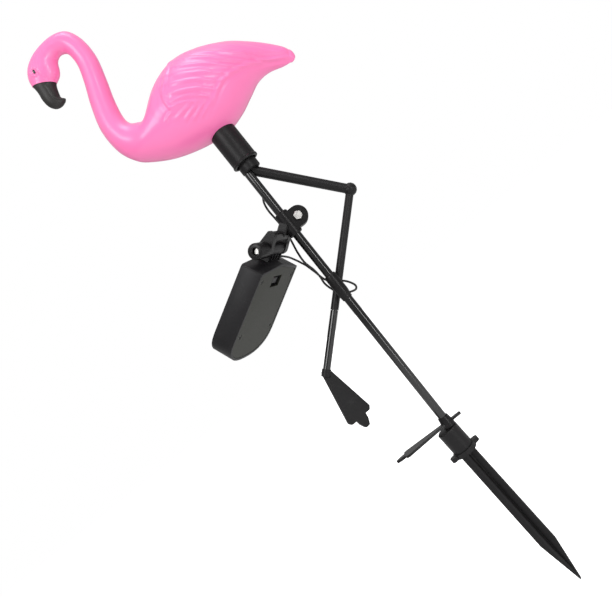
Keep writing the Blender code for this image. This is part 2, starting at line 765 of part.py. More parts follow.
def make_joint(material):
    """Sleeve that joins the two poles, with an eye behind it for the shin."""
    profile = [
        (0.0, JOINT_TOP_Z),
        (JOINT_END_RADIUS, JOINT_TOP_Z),
        (JOINT_RADIUS - 0.4 * MM, JOINT_TOP_Z - 0.9 * MM),
        (JOINT_RADIUS, JOINT_TOP_Z - 2.6 * MM),
        (JOINT_RADIUS, JOINT_BOTTOM_Z + JOINT_TAPER),
        (JOINT_END_RADIUS, JOINT_BOTTOM_Z),
        (0.0, JOINT_BOTTOM_Z),
    ]
    joint = turned("cross_joint", profile, material)
    centre = shin_point(SHIN_EYE_Z)
    start = Vector((centre.x, JOINT_RADIUS - 1.4 * MM, SHIN_EYE_Z))
    end = Vector((centre.x, centre.y + SHIN_RADIUS + GAP + 0.8 * MM, SHIN_EYE_Z))
    fuse(joint, rod("shin_eye", start, end, SHIN_EYE_RADIUS))
    along_shin = (KNEE - ANKLE).normalized() * 20 * MM
    cut(
        joint,
        rod("eye_bore", centre - along_shin, centre + along_shin, SHIN_RADIUS + GAP),
        pole_clearance("joint_bore", JOINT_BOTTOM_Z - MM, JOINT_TOP_Z + MM),
    )
    return smooth(joint)


def make_stake(material):
    """Ground stake: collar, flange with two lugs, and a blade of four fins down to a point."""
    axis = link(bpy.data.objects.new("stake_axis", None))
    axis.location.x = STAKE_X
    axis.rotation_euler.y = -STAKE_LEAN
    stake = rod("ground_stake", (0.0, 0.0, MM), (0.0, 0.0, COLLAR_TOP), COLLAR_RADIUS, material=material, parent=axis, segments=28)
    bevel(stake, 0.8 * MM)
    flange = rod("flange", (0.0, 0.0, 0.0), (0.0, 0.0, FLANGE_HEIGHT), FLANGE_RADIUS, parent=axis, segments=28)
    lug = LUG_WIDTH / 2
    corners = [(x, y, 0.45 * LUG_WIDTH) for x, y in ((LUG_REACH, -lug), (LUG_REACH, lug), (-LUG_REACH, lug), (-LUG_REACH, -lug))]
    lugs = plate("lugs", rounded_outline(corners), FLANGE_HEIGHT - 0.6 * MM, parent=axis)
    lugs.location.z = FLANGE_HEIGHT / 2
    lugs.rotation_euler.z = LUG_ANGLE
    fins = []
    for k in range(2):
        low = -STAKE_LENGTH + k * FIN_STEP
        side = [
            (FIN_TOP_RADIUS, 0.6 * MM, 0.0),
            (FIN_SHOULDER_RADIUS, -FIN_SHOULDER, 6 * MM),
            (0.9 * MM, low + MM, 0.0),
        ]
        outline = rounded_outline(side + [(0.0, low, 0.0)] + [(-x, y, radius) for x, y, radius in reversed(side)])
        fin = plate(f"fin_{k}", outline, FIN_THICKNESS, parent=axis)
        fin.rotation_euler = (math.pi / 2, 0.0, -FIN_TURN + k * math.pi / 2)
        fins.append(fin)
    core = rod(
        "stake_core",
        (0.0, 0.0, MM),
        (0.0, 0.0, -STAKE_LENGTH + 12 * MM),
        STAKE_CORE_RADIUS,
        0.5 * MM,
        parent=axis,
        segments=16,
    )
    fuse(stake, flange, lugs, *fins, core)
    cut(stake, pole_clearance("stake_bore", POLE_FOOT_Z - GAP, COLLAR_TOP + 4 * MM))
    return smooth(stake)


def hinge_frame(name, tilt=0.0):
    """Empty on the hinge's axis: X along the axis, Y down the panel."""
    frame = link(bpy.data.objects.new(name, None))
    frame.location = HINGE_AT
    frame.rotation_euler = (PANEL_TURN[0] + tilt, PANEL_TURN[1], PANEL_TURN[2])
    return frame


def make_clamp(material, fork):
    """Split clamp round the pole, with a bolted ear on one side and the panel's fork on the other."""
    profile = [
        (0.0, CLAMP_TOP_Z),
        (CLAMP_RADIUS - MM, CLAMP_TOP_Z),
        (CLAMP_RADIUS, CLAMP_TOP_Z - MM),
        (CLAMP_RADIUS, CLAMP_BOTTOM_Z + MM),
        (CLAMP_RADIUS - MM, CLAMP_BOTTOM_Z),
        (0.0, CLAMP_BOTTOM_Z),
    ]
    clamp = turned("pole_clamp", profile, material)
    reach, radius = EAR_AT.x + EAR_RADIUS, EAR_RADIUS - 0.1 * MM
    side = [(0.0, EAR_RADIUS, 0.0), (reach, EAR_RADIUS, radius), (reach, -EAR_RADIUS, radius), (0.0, -EAR_RADIUS, 0.0)]
    ear = bevel(plate("ear", rounded_outline(side, 7), EAR_THICKNESS), 0.8 * MM)
    ear.location.z = EAR_AT.z
    ear.rotation_euler.x = math.pi / 2
    pieces = [ear]
    depth = FORK_DEPTH / 2
    corners = [
        (ARM_RADIUS, ARM_RADIUS, ARM_RADIUS - 0.1 * MM),
        (-0.2 * FORK_REACH, ARM_RADIUS, 4 * MM),
        (-FORK_REACH, depth - FORK_SINK, MM),
        (-FORK_REACH, -depth - FORK_SINK, MM),
        (ARM_RADIUS, -ARM_RADIUS, ARM_RADIUS - 0.1 * MM),
    ]
    for name, side in (("left", -1.0), ("right", 1.0)):
        arm = plate(f"{name}_arm", rounded_outline(corners, 5), ARM_THICKNESS, parent=fork)
        arm.location.x = side * (FORK_HALF - ARM_THICKNESS / 2)
        arm.rotation_euler = Matrix(((0, 0, 1), (1, 0, 0), (0, 1, 0))).to_euler()
        pieces.append(arm)
    across = FORK_HALF - MM
    low, high = -depth - FORK_SINK, depth - FORK_SINK
    web = block("web", (-across, -FORK_REACH + 0.5 * MM, low), (across, -WEB_INSIDE, high), parent=fork)
    neck = block("neck", (MM, -28 * MM, low - 1.5 * MM), (across - MM, -15 * MM, high + MM), parent=fork)
    fuse(clamp, *pieces, bevel(web, 1.2 * MM), bevel(neck, 1.2 * MM))
    slit = block("slit", (0.0, -CLAMP_SLIT / 2, CLAMP_BOTTOM_Z - 4 * MM), (40 * MM, CLAMP_SLIT / 2, CLAMP_TOP_Z + 4 * MM))
    bolt_way = rod("ear_bore", EAR_AT - Vector((0, 20 * MM, 0)), EAR_AT + Vector((0, 20 * MM, 0)), CLAMP_BOLT_RADIUS + GAP)
    hinge_way = rod("hinge_bore", (-40 * MM, 0.0, 0.0), (40 * MM, 0.0, 0.0), HINGE_BOLT_RADIUS + GAP, parent=fork, segments=24)
    cut(clamp, pole_clearance("clamp_bore", CLAMP_BOTTOM_Z - 6 * MM, CLAMP_TOP_Z + 6 * MM), slit, bolt_way, hinge_way)
    return smooth(clamp)


def make_clamp_bolt(material):
    """Hexagon bolt across the clamp's ear, and its nut."""
    face = EAR_THICKNESS / 2 + GAP
    head = rod(
        "clamp_bolt",
        EAR_AT + Vector((0, -face - CLAMP_BOLT_HEAD_HEIGHT, 0)),
        EAR_AT + Vector((0, -face, 0)),
        CLAMP_BOLT_HEAD,
        material=material,
        segments=6,
    )
    bevel(head, 0.4 * MM, 1, 20.0)
    end = face + CLAMP_BOLT_HEAD_HEIGHT + 1.5 * MM
    fuse(head, rod("clamp_shank", EAR_AT + Vector((0, -face - MM, 0)), EAR_AT + Vector((0, end, 0)), CLAMP_BOLT_RADIUS, segments=24))
    nut = rod(
        "clamp_nut",
        EAR_AT + Vector((0, face, 0)),
        EAR_AT + Vector((0, face + CLAMP_BOLT_HEAD_HEIGHT, 0)),
        CLAMP_BOLT_HEAD,
        material=material,
        segments=6,
    )
    thread = rod("nut_bore", EAR_AT, EAR_AT + Vector((0, end + MM, 0)), CLAMP_BOLT_RADIUS + GAP, segments=24)
    return smooth(head), smooth(cut(nut, thread))


def make_hinge_hardware(plastic, steel, fork):
    """Round knob, long bolt and nut on the hinge's axis."""
    start = FORK_HALF + GAP
    bore = HINGE_BOLT_RADIUS + GAP
    floor = KNOB_LENGTH - KNOB_RECESS_DEPTH
    profile = [
        (KNOB_RECESS_RADIUS, KNOB_LENGTH),
        (KNOB_RADIUS - 1.4 * MM, KNOB_LENGTH),
        (KNOB_RADIUS - 0.4 * MM, KNOB_LENGTH - 0.5 * MM),
        (KNOB_RADIUS, KNOB_LENGTH - 1.6 * MM),
        (KNOB_RADIUS, 1.0 * MM),
        (KNOB_RADIUS - MM, 0.0),
        (bore, 0.0),
        (bore, floor),
        (KNOB_RECESS_RADIUS, floor),
    ]
    knob = turned("hinge_knob", profile, plastic, parent=fork, closed=True)
    knob.location.x = -start
    knob.rotation_euler.y = -math.pi / 2
    head_at = -(start + floor + GAP)
    bolt = rod(
        "hinge_bolt",
        (head_at - BOLT_HEAD_HEIGHT, 0.0, 0.0),
        (head_at, 0.0, 0.0),
        BOLT_HEAD_RADIUS,
        material=steel,
        parent=fork,
        segments=24,
    )
    bevel(bolt, 0.5 * MM)
    nut_end = start + HINGE_NUT_HEIGHT
    fuse(bolt, rod("hinge_shank", (head_at - MM, 0.0, 0.0), (nut_end + MM, 0.0, 0.0), HINGE_BOLT_RADIUS, parent=fork, segments=24))
    nut = rod("hinge_nut", (start, 0.0, 0.0), (nut_end, 0.0, 0.0), HINGE_NUT_RADIUS, material=steel, parent=fork, segments=6)
    cut(nut, rod("hinge_nut_bore", (start - MM, 0.0, 0.0), (nut_end + 3 * MM, 0.0, 0.0), bore, parent=fork, segments=24))
    return smooth(knob), smooth(bolt), smooth(nut)


def panel_outline(inset):
    """Panel seen from its face: a slightly peaked top, long sides and a bowed lower end."""
    top = PANEL_TOP + inset
    end = PANEL_LENGTH - PANEL_STRAIGHT - inset
    half = PANEL_HALF - inset
    sides = [(PANEL_TOP_HALF - inset, top, 3.0 * MM), (half, PANEL_TOP + PANEL_STRAIGHT, 0.0)]
    power = 2 / PANEL_END_POWER
    for k in range(1, PANEL_END_STEPS):
        angle = math.pi / 2 * k / PANEL_END_STEPS
        across = half * math.cos(angle) ** power
        down = PANEL_TOP + PANEL_STRAIGHT + end * math.sin(angle) ** power
        sides.append((across, down, 0.0))
    peak = [(0.0, top - PANEL_ROOF, 12 * MM)]
    lowest = [(0.0, PANEL_TOP + PANEL_STRAIGHT + end, 0.0)]
    return rounded_outline(peak + sides + lowest + [(-x, y, radius) for x, y, radius in reversed(sides)])


def panel_layer(name, inset, low, high, hinge, material=None):
    """Plate of the panel's outline between two heights over the hinge's axis."""
    layer = plate(name, panel_outline(inset), high - low, material, hinge)
    layer.location.z = (low + high) / 2
    return layer


def screw_places():
    """Across and down places of the cover's screws."""
    across = PANEL_TOP_HALF - SCREW_EDGE
    rows = (PANEL_TOP + SCREW_FROM_TOP, PANEL_TOP + PANEL_STRAIGHT - SCREW_FROM_BEND)
    return [(side * across, down) for down in rows for side in (-1.0, 1.0)]


def make_panel(housing_material, cover_material, cell_material, steel, hinge):
    """Housing with its knuckle, back cover with four screws, switch button and solar cell."""
    back, face = PANEL_BACK, PANEL_BACK + PANEL_THICKNESS
    floor = back + COVER_DEPTH
    housing = bevel(panel_layer("panel_housing", 0.0, back, face, hinge, housing_material), PANEL_EDGE, 2, 60.0)
    knuckle_half = FORK_HALF - ARM_THICKNESS - GAP
    fuse(housing, rod("knuckle", (-knuckle_half, 0.0, 0.0), (knuckle_half, 0.0, 0.0), KNUCKLE_RADIUS, parent=hinge))
    pitch = (2 * knuckle_half - RIB_THICKNESS) / (RIB_COUNT - 1)
    for k in range(RIB_COUNT):
        middle = -knuckle_half + RIB_THICKNESS / 2 + k * pitch
        low = (middle - RIB_THICKNESS / 2, 2 * MM, -KNUCKLE_RADIUS + MM)
        high = (middle + RIB_THICKNESS / 2, PANEL_TOP - PANEL_ROOF + 5 * MM, KNUCKLE_RADIUS - MM)
        fuse(housing, block(f"rib_{k}", low, high, parent=hinge))
    gland_end = GLAND_AT + GLAND_DIRECTION * GLAND_LENGTH
    fuse(housing, rod("gland", GLAND_AT, gland_end, GLAND_RADIUS, GLAND_RADIUS - 0.7 * MM, parent=hinge, segments=16))
    cut(
        housing,
        rod("lead_bore", gland_end - GLAND_DIRECTION * 2 * MM, gland_end + GLAND_DIRECTION * MM, LEAD_RADIUS + GAP, parent=hinge, segments=16),
        rod("knuckle_bore", (-20 * MM, 0.0, 0.0), (20 * MM, 0.0, 0.0), HINGE_BOLT_RADIUS + GAP, parent=hinge, segments=24),
        panel_layer("cover_recess", COVER_INSET, back - MM, floor, hinge),
        panel_layer("cell_recess", CELL_INSET, face - CELL_DEPTH, face + MM, hinge),
    )
    wide, tall = (size / 2 for size in SWITCH_SIZE)
    switch_y = PANEL_TOP + SWITCH_DOWN
    pocket = block("switch_pocket", (-wide, switch_y - tall, back), (wide, switch_y + tall, back + SWITCH_POCKET), parent=hinge)
    opening = block("switch_opening", (-wide, switch_y - tall, back - MM), (wide, switch_y + tall, floor + MM), parent=hinge)
    cut(housing, pocket)
    cover = panel_layer("panel_back", COVER_INSET + GAP, back + 0.3 * MM, floor - GAP, hinge, cover_material)
    cut(cover, opening)
    button_wide, button_tall, button_high = (size / 2 for size in BUTTON_SIZE)
    low = (-button_wide, switch_y - button_tall, back + SWITCH_POCKET - GAP - 2 * button_high)
    high = (button_wide, switch_y + button_tall, back + SWITCH_POCKET - GAP)
    button = bevel(block("switch_button", low, high, housing_material, hinge), 0.6 * MM)
    for k, (across, down) in enumerate(screw_places()):
        place = Vector((across, down, 0.0))
        cut(cover, rod(f"screw_way_{k}", place + Vector((0, 0, back - MM)), place + Vector((0, 0, floor + MM)), SCREW_HOLE_RADIUS, parent=hinge, segments=16))
        shank_end = floor + 4 * MM
        cut(housing, rod(f"screw_hole_{k}", place + Vector((0, 0, floor - MM)), place + Vector((0, 0, shank_end + GAP)), SCREW_HEAD_RADIUS / 2 + GAP, parent=hinge, segments=12))
        head = rod(
            f"cover_screw_{k + 1}",
            place + Vector((0, 0, floor - GAP - SCREW_HEAD_HEIGHT)),
            place + Vector((0, 0, floor - GAP)),
            SCREW_HEAD_RADIUS,
            material=steel,
            parent=hinge,
            segments=16,
        )
        fuse(head, rod(f"screw_shank_{k}", place + Vector((0, 0, floor - MM)), place + Vector((0, 0, shank_end)), SCREW_HEAD_RADIUS / 2, parent=hinge, segments=12))
        top = floor - GAP - SCREW_HEAD_HEIGHT
        for name, half in (("a", (1.6 * MM, 0.35 * MM)), ("b", (0.35 * MM, 1.6 * MM))):
            slot_low = place + Vector((-half[0], -half[1], top - MM))
            slot_high = place + Vector((half[0], half[1], top + 0.6 * MM))
            cut(head, block(f"slot_{k}{name}", slot_low, slot_high, parent=hinge))
        smooth(head)
    cell = panel_layer("solar_cell", CELL_INSET + GAP, face - CELL_DEPTH + GAP, face - 0.2 * MM, hinge, cell_material)
    return [smooth(piece) for piece in (housing, cover, button, cell)]


def lead_points(hinge):
    """Evenly spaced points of the lead, from the gland round the joint to the hole in the pole."""
    start = hinge.matrix_basis @ (GLAND_AT + GLAND_DIRECTION * (GLAND_LENGTH + GAP))
    leave = hinge.matrix_basis @ (GLAND_AT + GLAND_DIRECTION * (GLAND_LENGTH + 3.4 * MM))
    enter = LEAD_HOLE_AT - LEAD_HOLE_DIRECTION * 2.4 * MM
    end = LEAD_HOLE_AT + LEAD_HOLE_DIRECTION * LEAD_HOLE_DEPTH
    route = [start, leave] + [Vector(point) * MM for point in LEAD_ROUTE_MM] + [enter, end]
    rows = np.array([tuple(point) for point in route])
    fine = np.array([section_at(rows, k / 20) for k in range(20 * (len(rows) - 1) + 1)])
    walked = np.concatenate([[0.0], np.cumsum(np.linalg.norm(np.diff(fine, axis=0), axis=1))])
    even = np.linspace(0.0, walked[-1], LEAD_POINTS)
    return np.stack([np.interp(even, walked, fine[:, k]) for k in range(3)], axis=1)


def make_lead(material, hinge):
    """Thin black lead."""
    curve = bpy.data.curves.new("panel_lead", "CURVE")
    curve.dimensions = "3D"
    curve.bevel_depth = LEAD_RADIUS
    curve.bevel_resolution = 2
    curve.use_fill_caps = True
    spline = curve.splines.new("POLY")
    points = lead_points(hinge)
    spline.points.add(len(points) - 1)
    for point, place in zip(spline.points, points):
        point.co = (*place, 1.0)
    curve.materials.append(material)
    return link(bpy.data.objects.new("panel_lead", curve))


def main():
    clear_scene()
    pink = make_material("glossy_pink_plastic", (0.93, 0.16, 0.42), 0.22)
    beak_black = make_material("satin_black_paint", (0.022, 0.020, 0.019), 0.5)
    satin = make_material("satin_black_plastic", (0.014, 0.014, 0.015), 0.42)
    tube = make_material("black_painted_tube", (0.010, 0.010, 0.011), 0.25)
    matte = make_material("matte_black_plastic", (0.026, 0.026, 0.027), 0.6)
    cover = make_material("back_cover_plastic", (0.040, 0.040, 0.036), 0.55)
    cell = make_material("solar_cell_glass", (0.012, 0.018, 0.045), 0.12)
    steel = make_material("plated_steel", (0.62, 0.62, 0.60), 0.28, 1.0)
    rubber = make_material("black_lead_sheath", (0.012, 0.012, 0.012), 0.45)
    make_bird(pink)
    make_beak(beak_black)
    make_socket(matte)
    make_leg(matte)
    make_shin_tube(tube)
    make_hanging_foot(matte)
    make_poles(tube)
    make_joint(satin)
    make_standing_foot(satin)
    make_stake(matte)
    hinge = hinge_frame("panel_hinge")
    fork = hinge_frame("fork_axis", FORK_TILT)
    make_clamp(satin, fork)
    make_clamp_bolt(steel)
    make_hinge_hardware(satin, steel, fork)
    make_panel(matte, cover, cell, steel, hinge)
    make_lead(rubber, hinge)
    bpy.context.view_layer.update()


if __name__ == "__main__":
    main()
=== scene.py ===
"""Looks of the solar garden flamingo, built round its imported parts.

Everything is in metres in the parts' own frame: Z runs up the pole, the bird looks towards -X
and the camera stands on the -Y side.
"""

import logging
import math
from dataclasses import dataclass, field
from enum import Enum
from typing import Sequence

import bpy
import numpy as np
from mathutils import Euler, Matrix, Vector

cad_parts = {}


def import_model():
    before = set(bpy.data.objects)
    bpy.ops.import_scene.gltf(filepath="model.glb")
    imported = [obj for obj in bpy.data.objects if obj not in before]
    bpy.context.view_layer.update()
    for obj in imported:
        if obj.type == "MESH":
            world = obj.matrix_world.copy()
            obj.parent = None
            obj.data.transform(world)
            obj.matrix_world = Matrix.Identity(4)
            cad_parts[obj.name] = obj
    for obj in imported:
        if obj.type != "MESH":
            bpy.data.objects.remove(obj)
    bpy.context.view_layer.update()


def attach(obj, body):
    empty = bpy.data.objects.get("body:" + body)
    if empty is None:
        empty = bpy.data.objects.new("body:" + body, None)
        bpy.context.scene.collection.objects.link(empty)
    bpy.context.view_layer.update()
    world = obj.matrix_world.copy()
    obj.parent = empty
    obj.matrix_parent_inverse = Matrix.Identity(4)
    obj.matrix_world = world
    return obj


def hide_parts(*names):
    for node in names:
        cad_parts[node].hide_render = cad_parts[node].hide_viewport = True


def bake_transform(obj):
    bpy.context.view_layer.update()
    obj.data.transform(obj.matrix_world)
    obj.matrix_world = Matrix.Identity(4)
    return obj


log = logging.getLogger("garden_flamingo")

MM = 0.001
ROOT_BODY = "light"
PANEL_BODY = "solar_panel"
BUILT_SHARP_DEG = 40.0
SHELL_SHARP_DEG = 70.0
COPY_SHARP_DEG = 35.0
BEVEL_STEPS = 2
WELD = 2e-6
TINY = 1e-12
NEARLY_ALONG = 0.95
CURVE_STEPS = 6
LEAD_STEPS = 20

Output = bpy.types.NodeSocket
Colour = tuple[float, float, float]
Point = tuple[float, float, float]
Outline = tuple[tuple[float, float], ...]
Section = tuple[float, float, float, float, float]

# Surfaces


def smoothstep(low: float, high: float, value: np.ndarray) -> np.ndarray:
    """Smooth ramp: 0 below low, 1 above high, and 3t^2 - 2t^3 between.

    Args:
        low: where the ramp starts.
        high: where it ends.
        value: array to ramp.

    Returns:
        The ramped array.
    """
    share = np.clip((value - low) / (high - low), 0.0, 1.0)
    return share * share * (3.0 - 2.0 * share)


def ridge(distance: np.ndarray, half_width: float) -> np.ndarray:
    """Rounded ridge: (1 - (d / w)^2)^2 within the half width, and 0 beyond it.

    Args:
        distance: distance from the ridge's line.
        half_width: half of the ridge's width.

    Returns:
        Height of the ridge as a share of its full height.
    """
    share = np.clip(1.0 - (distance / half_width) ** 2, 0.0, 1.0)
    return share * share


def catmull(rows: np.ndarray, place: np.ndarray) -> np.ndarray:
    """Catmull-Rom curve through rows, with the end rows doubled.

    Args:
        rows: array of n rows.
        place: places counted in rows, from 0 to n - 1.

    Returns:
        One interpolated row for each place.
    """
    last = len(rows) - 1
    index = np.minimum(place.astype(int), last - 1)
    t = (place - index)[:, None]
    p0, p1, p2, p3 = (rows[np.clip(index + k, 0, last)] for k in (-1, 0, 1, 2))
    return 0.5 * (
        2.0 * p1
        + (p2 - p0) * t
        + (2.0 * p0 - 5.0 * p1 + 4.0 * p2 - p3) * t**2
        + (3.0 * p1 - p0 - 3.0 * p2 + p3) * t**3
    )


def fine_curve(rows: np.ndarray, steps: int) -> np.ndarray:
    """Catmull-Rom curve through rows, with a number of even steps from each row to the next."""
    last = len(rows) - 1
    return catmull(rows, np.linspace(0.0, last, steps * last + 1))


def round_angles(columns: int) -> np.ndarray:
    """Angles spread evenly once round, the last one short of the first."""
    return np.linspace(0.0, math.tau, columns, endpoint=False)


def grid_normals(grid: np.ndarray) -> np.ndarray:
    """Unit normals of a grid that is closed round its second direction.

    A normal is the cross product of the central differences round and along the grid, turned
    away from the middles of the rings.

    Args:
        grid: points, rows by columns by 3.

    Returns:
        Array of the same shape.
    """
    along = np.gradient(grid, axis=0)
    round_it = np.roll(grid, -1, axis=1) - np.roll(grid, 1, axis=1)
    normal = np.cross(round_it, along)
    normal /= np.maximum(np.linalg.norm(normal, axis=2, keepdims=True), TINY)
    outward = ((grid - grid.mean(axis=1, keepdims=True)) * normal).sum(axis=2).mean()
    return normal * np.sign(outward)


def oval_rings(sections: np.ndarray, columns: int) -> np.ndarray:
    """Oval rings: centre + half chord * cos a in XZ, and half width * sin a in Y.

    Args:
        sections: rows of (x, z) of a chord's two ends, then half the width.
        columns: points round.

    Returns:
        Grid of points.
    """
    angle = round_angles(columns)
    centre = (sections[:, :2] + sections[:, 2:4]) / 2
    half = (sections[:, :2] - sections[:, 2:4]) / 2
    grid = np.empty((len(sections), columns, 3))
    grid[..., 0] = centre[:, :1] + half[:, :1] * np.cos(angle)
    grid[..., 2] = centre[:, 1:] + half[:, 1:] * np.cos(angle)
    grid[..., 1] = sections[:, 4:] * np.sin(angle)
    return grid


def link_new(name: str, data: bpy.types.ID) -> bpy.types.Object:
    """New object of a mesh, lamp or camera, linked to the scene."""
    obj = bpy.data.objects.new(name, data)
    bpy.context.scene.collection.objects.link(obj)
    return obj


def mesh_object(
    name: str, points: np.ndarray, loops: np.ndarray, starts: np.ndarray, sharp_deg: float
) -> bpy.types.Object:
    """Makes a smooth object of whole arrays of points and faces.

    Args:
        name: object name.
        points: n by 3.
        loops: vertex index of each face corner.
        starts: first corner of each face.
        sharp_deg: edges sharper than this stay sharp.

    Returns:
        The object, linked to the scene.
    """
    mesh = bpy.data.meshes.new(name)
    mesh.vertices.add(len(points))
    mesh.vertices.foreach_set("co", points.astype(np.float32).ravel())
    mesh.loops.add(len(loops))
    mesh.loops.foreach_set("vertex_index", loops.astype(np.int32))
    mesh.polygons.add(len(starts))
    mesh.polygons.foreach_set("loop_start", starts.astype(np.int32))
    mesh.update(calc_edges=True)
    mesh.validate()
    mesh.shade_smooth()
    mesh.set_sharp_from_angle(angle=math.radians(sharp_deg))
    return link_new(name, mesh)


def signed_volume(points: np.ndarray, quads: np.ndarray) -> float:
    """Volume inside quads that turn outwards: the sum of the tetrahedra to the middle."""
    base = points - points.mean(axis=0)
    a, b, c, d = (base[quads[:, k]] for k in range(4))
    return float((np.cross(b, c) * a).sum() + (np.cross(c, d) * a).sum())


def grid_object(
    name: str, grid: np.ndarray, closed: bool = True, sharp_deg: float = BUILT_SHARP_DEG
) -> bpy.types.Object:
    """Makes an object of a grid of points.

    Neighbouring points make quads. A closed grid joins its last column to its first, and each
    of its end rows is filled by a fan of triangles to the row's middle.

    Args:
        name: object name.
        grid: points, rows by columns by 3.
        closed: whether the columns run round.
        sharp_deg: edges sharper than this stay sharp.

    Returns:
        The object, with the faces of a closed grid outwards.
    """
    rows, columns = grid.shape[:2]
    points = grid.reshape(-1, 3)
    index = np.arange(rows * columns).reshape(rows, columns)
    right = np.roll(index, -1, axis=1) if closed else index[:, 1:]
    left = index if closed else index[:, :-1]
    quads = np.stack([left[:-1], right[:-1], right[1:], left[1:]], axis=-1).reshape(-1, 4)
    triangles = np.zeros((0, 3), int)
    if closed:
        first_middle = np.full(columns, len(points))
        first_fan = np.stack([right[0], left[0], first_middle], axis=-1)
        last_fan = np.stack([left[-1], right[-1], first_middle + 1], axis=-1)
        triangles = np.concatenate([first_fan, last_fan])
        points = np.concatenate([points, grid[[0, -1]].mean(axis=1)])
        if signed_volume(points, quads) < 0.0:
            quads, triangles = quads[:, ::-1], triangles[:, ::-1]
    loops = np.concatenate([quads.ravel(), triangles.ravel()])
    triangle_starts = quads.size + np.arange(len(triangles)) * 3
    starts = np.concatenate([np.arange(len(quads)) * 4, triangle_starts])
    return mesh_object(name, points, loops, starts, sharp_deg)


def basis(direction: np.ndarray) -> tuple[np.ndarray, np.ndarray]:
    """Two unit vectors square to a direction, the first near Y, or near X beside the Y axis.

    Args:
        direction: unit vector.

    Returns:
        The two vectors.
    """
    guide = np.array((0.0, 1.0, 0.0))
    if abs(float(guide @ direction)) > NEARLY_ALONG:
        guide = np.array((1.0, 0.0, 0.0))
    first = guide - direction * (guide @ direction)
    first /= np.linalg.norm(first)
    return first, np.cross(direction, first)


def revolve(start: Sequence[float], axis: Sequence[float], profile: np.ndarray, columns: int) -> np.ndarray:
    """Profile turned about an axis: start + axis * height + radius * (cos a, sin a) across it.

    Args:
        start: point on the axis where heights are 0.
        axis: direction of the axis.
        profile: rows of (radius, height).
        columns: points round.

    Returns:
        Grid of points.
    """
    direction = np.asarray(axis, float) / np.linalg.norm(axis)
    first, second = basis(direction)
    angle = round_angles(columns)[:, None]
    ring = np.cos(angle) * first + np.sin(angle) * second
    radius, height = profile[:, 0, None, None], profile[:, 1, None, None]
    return np.asarray(start, float) + height * direction + radius * ring


def sweep(path: np.ndarray, radius: float, columns: int) -> np.ndarray:
    """Round section carried along a path, with a frame that turns as little as it can.

    Each section lies square to the path, and its first direction is the last one's with the
    part along the new tangent taken out.

    Args:
        path: n points.
        radius: radius of the section.
        columns: points round.

    Returns:
        Grid of points.
    """
    tangent = np.gradient(path, axis=0)
    tangent /= np.linalg.norm(tangent, axis=1, keepdims=True)
    first = np.zeros_like(path)
    first[0] = basis(tangent[0])[0]
    for k in range(1, len(path)):
        side = first[k - 1] - tangent[k] * (first[k - 1] @ tangent[k])
        first[k] = side / np.linalg.norm(side)
    second = np.cross(tangent, first)
    angle = round_angles(columns)[:, None]
    ring = np.cos(angle) * first[:, None] + np.sin(angle) * second[:, None]
    return path[:, None] + radius * ring


def rounded_profile(corners: Sequence[Point], steps: int = 6) -> np.ndarray:
    """Profile through corners, each rounded by a quadratic curve of its reach.

    Args:
        corners: (radius, height, reach of the rounding) of each corner.
        steps: points on each rounding.

    Returns:
        Rows of (radius, height).
    """
    points = np.array([corner[:2] for corner in corners])
    rows = [points[:1]]
    share = np.linspace(0.0, 1.0, steps + 1)[:, None]
    for k in range(1, len(corners) - 1):
        reach = corners[k][2]
        back, ahead = points[k - 1] - points[k], points[k + 1] - points[k]
        start = points[k] + back * min(reach / np.linalg.norm(back), 0.5)
        end = points[k] + ahead * min(reach / np.linalg.norm(ahead), 0.5)
        rows.append((1 - share) ** 2 * start + 2 * share * (1 - share) * points[k] + share**2 * end)
    rows.append(points[-1:])
    return np.concatenate(rows)


def welded_copy(node: str, name: str, bevel: float) -> bpy.types.Object:
    """Copy of a part's mesh with its loose triangles merged and its edges softened.

    Args:
        node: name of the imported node.
        name: name of the new piece.
        bevel: width of the softened edges, or 0 for edges as they are.

    Returns:
        The new object at the origin.
    """
    source = bpy.data.objects[node].data
    points = np.empty(len(source.vertices) * 3, np.float32)
    source.vertices.foreach_get("co", points)
    loops = np.empty(len(source.loops), np.int32)
    source.loops.foreach_get("vertex_index", loops)
    points = points.reshape(-1, 3)
    keys = np.round(points / WELD).astype(np.int64)
    _, first, inverse = np.unique(keys, axis=0, return_index=True, return_inverse=True)
    faces = inverse.reshape(-1)[loops].reshape(-1, 3)
    faces = faces[(faces != np.roll(faces, 1, axis=1)).all(axis=1)]
    starts = np.arange(len(faces)) * 3
    obj = mesh_object(name, points[first], faces.ravel(), starts, COPY_SHARP_DEG)
    if bevel > 0.0:
        soft = obj.modifiers.new("soft_edges", "BEVEL")
        soft.width = bevel
        soft.segments = BEVEL_STEPS
        soft.limit_method = "ANGLE"
        soft.angle_limit = math.radians(COPY_SHARP_DEG)
        soft.harden_normals = False
        soft.use_clamp_overlap = True
    return obj


# Shader nodes


def linear(red: int, green: int, blue: int) -> Colour:
    """Linear colour of an 8-bit sRGB one."""

    def one(value: int) -> float:
        share = value / 255.0
        return share / 12.92 if share <= 0.04045 else ((share + 0.055) / 1.055) ** 2.4

    return one(red), one(green), one(blue)


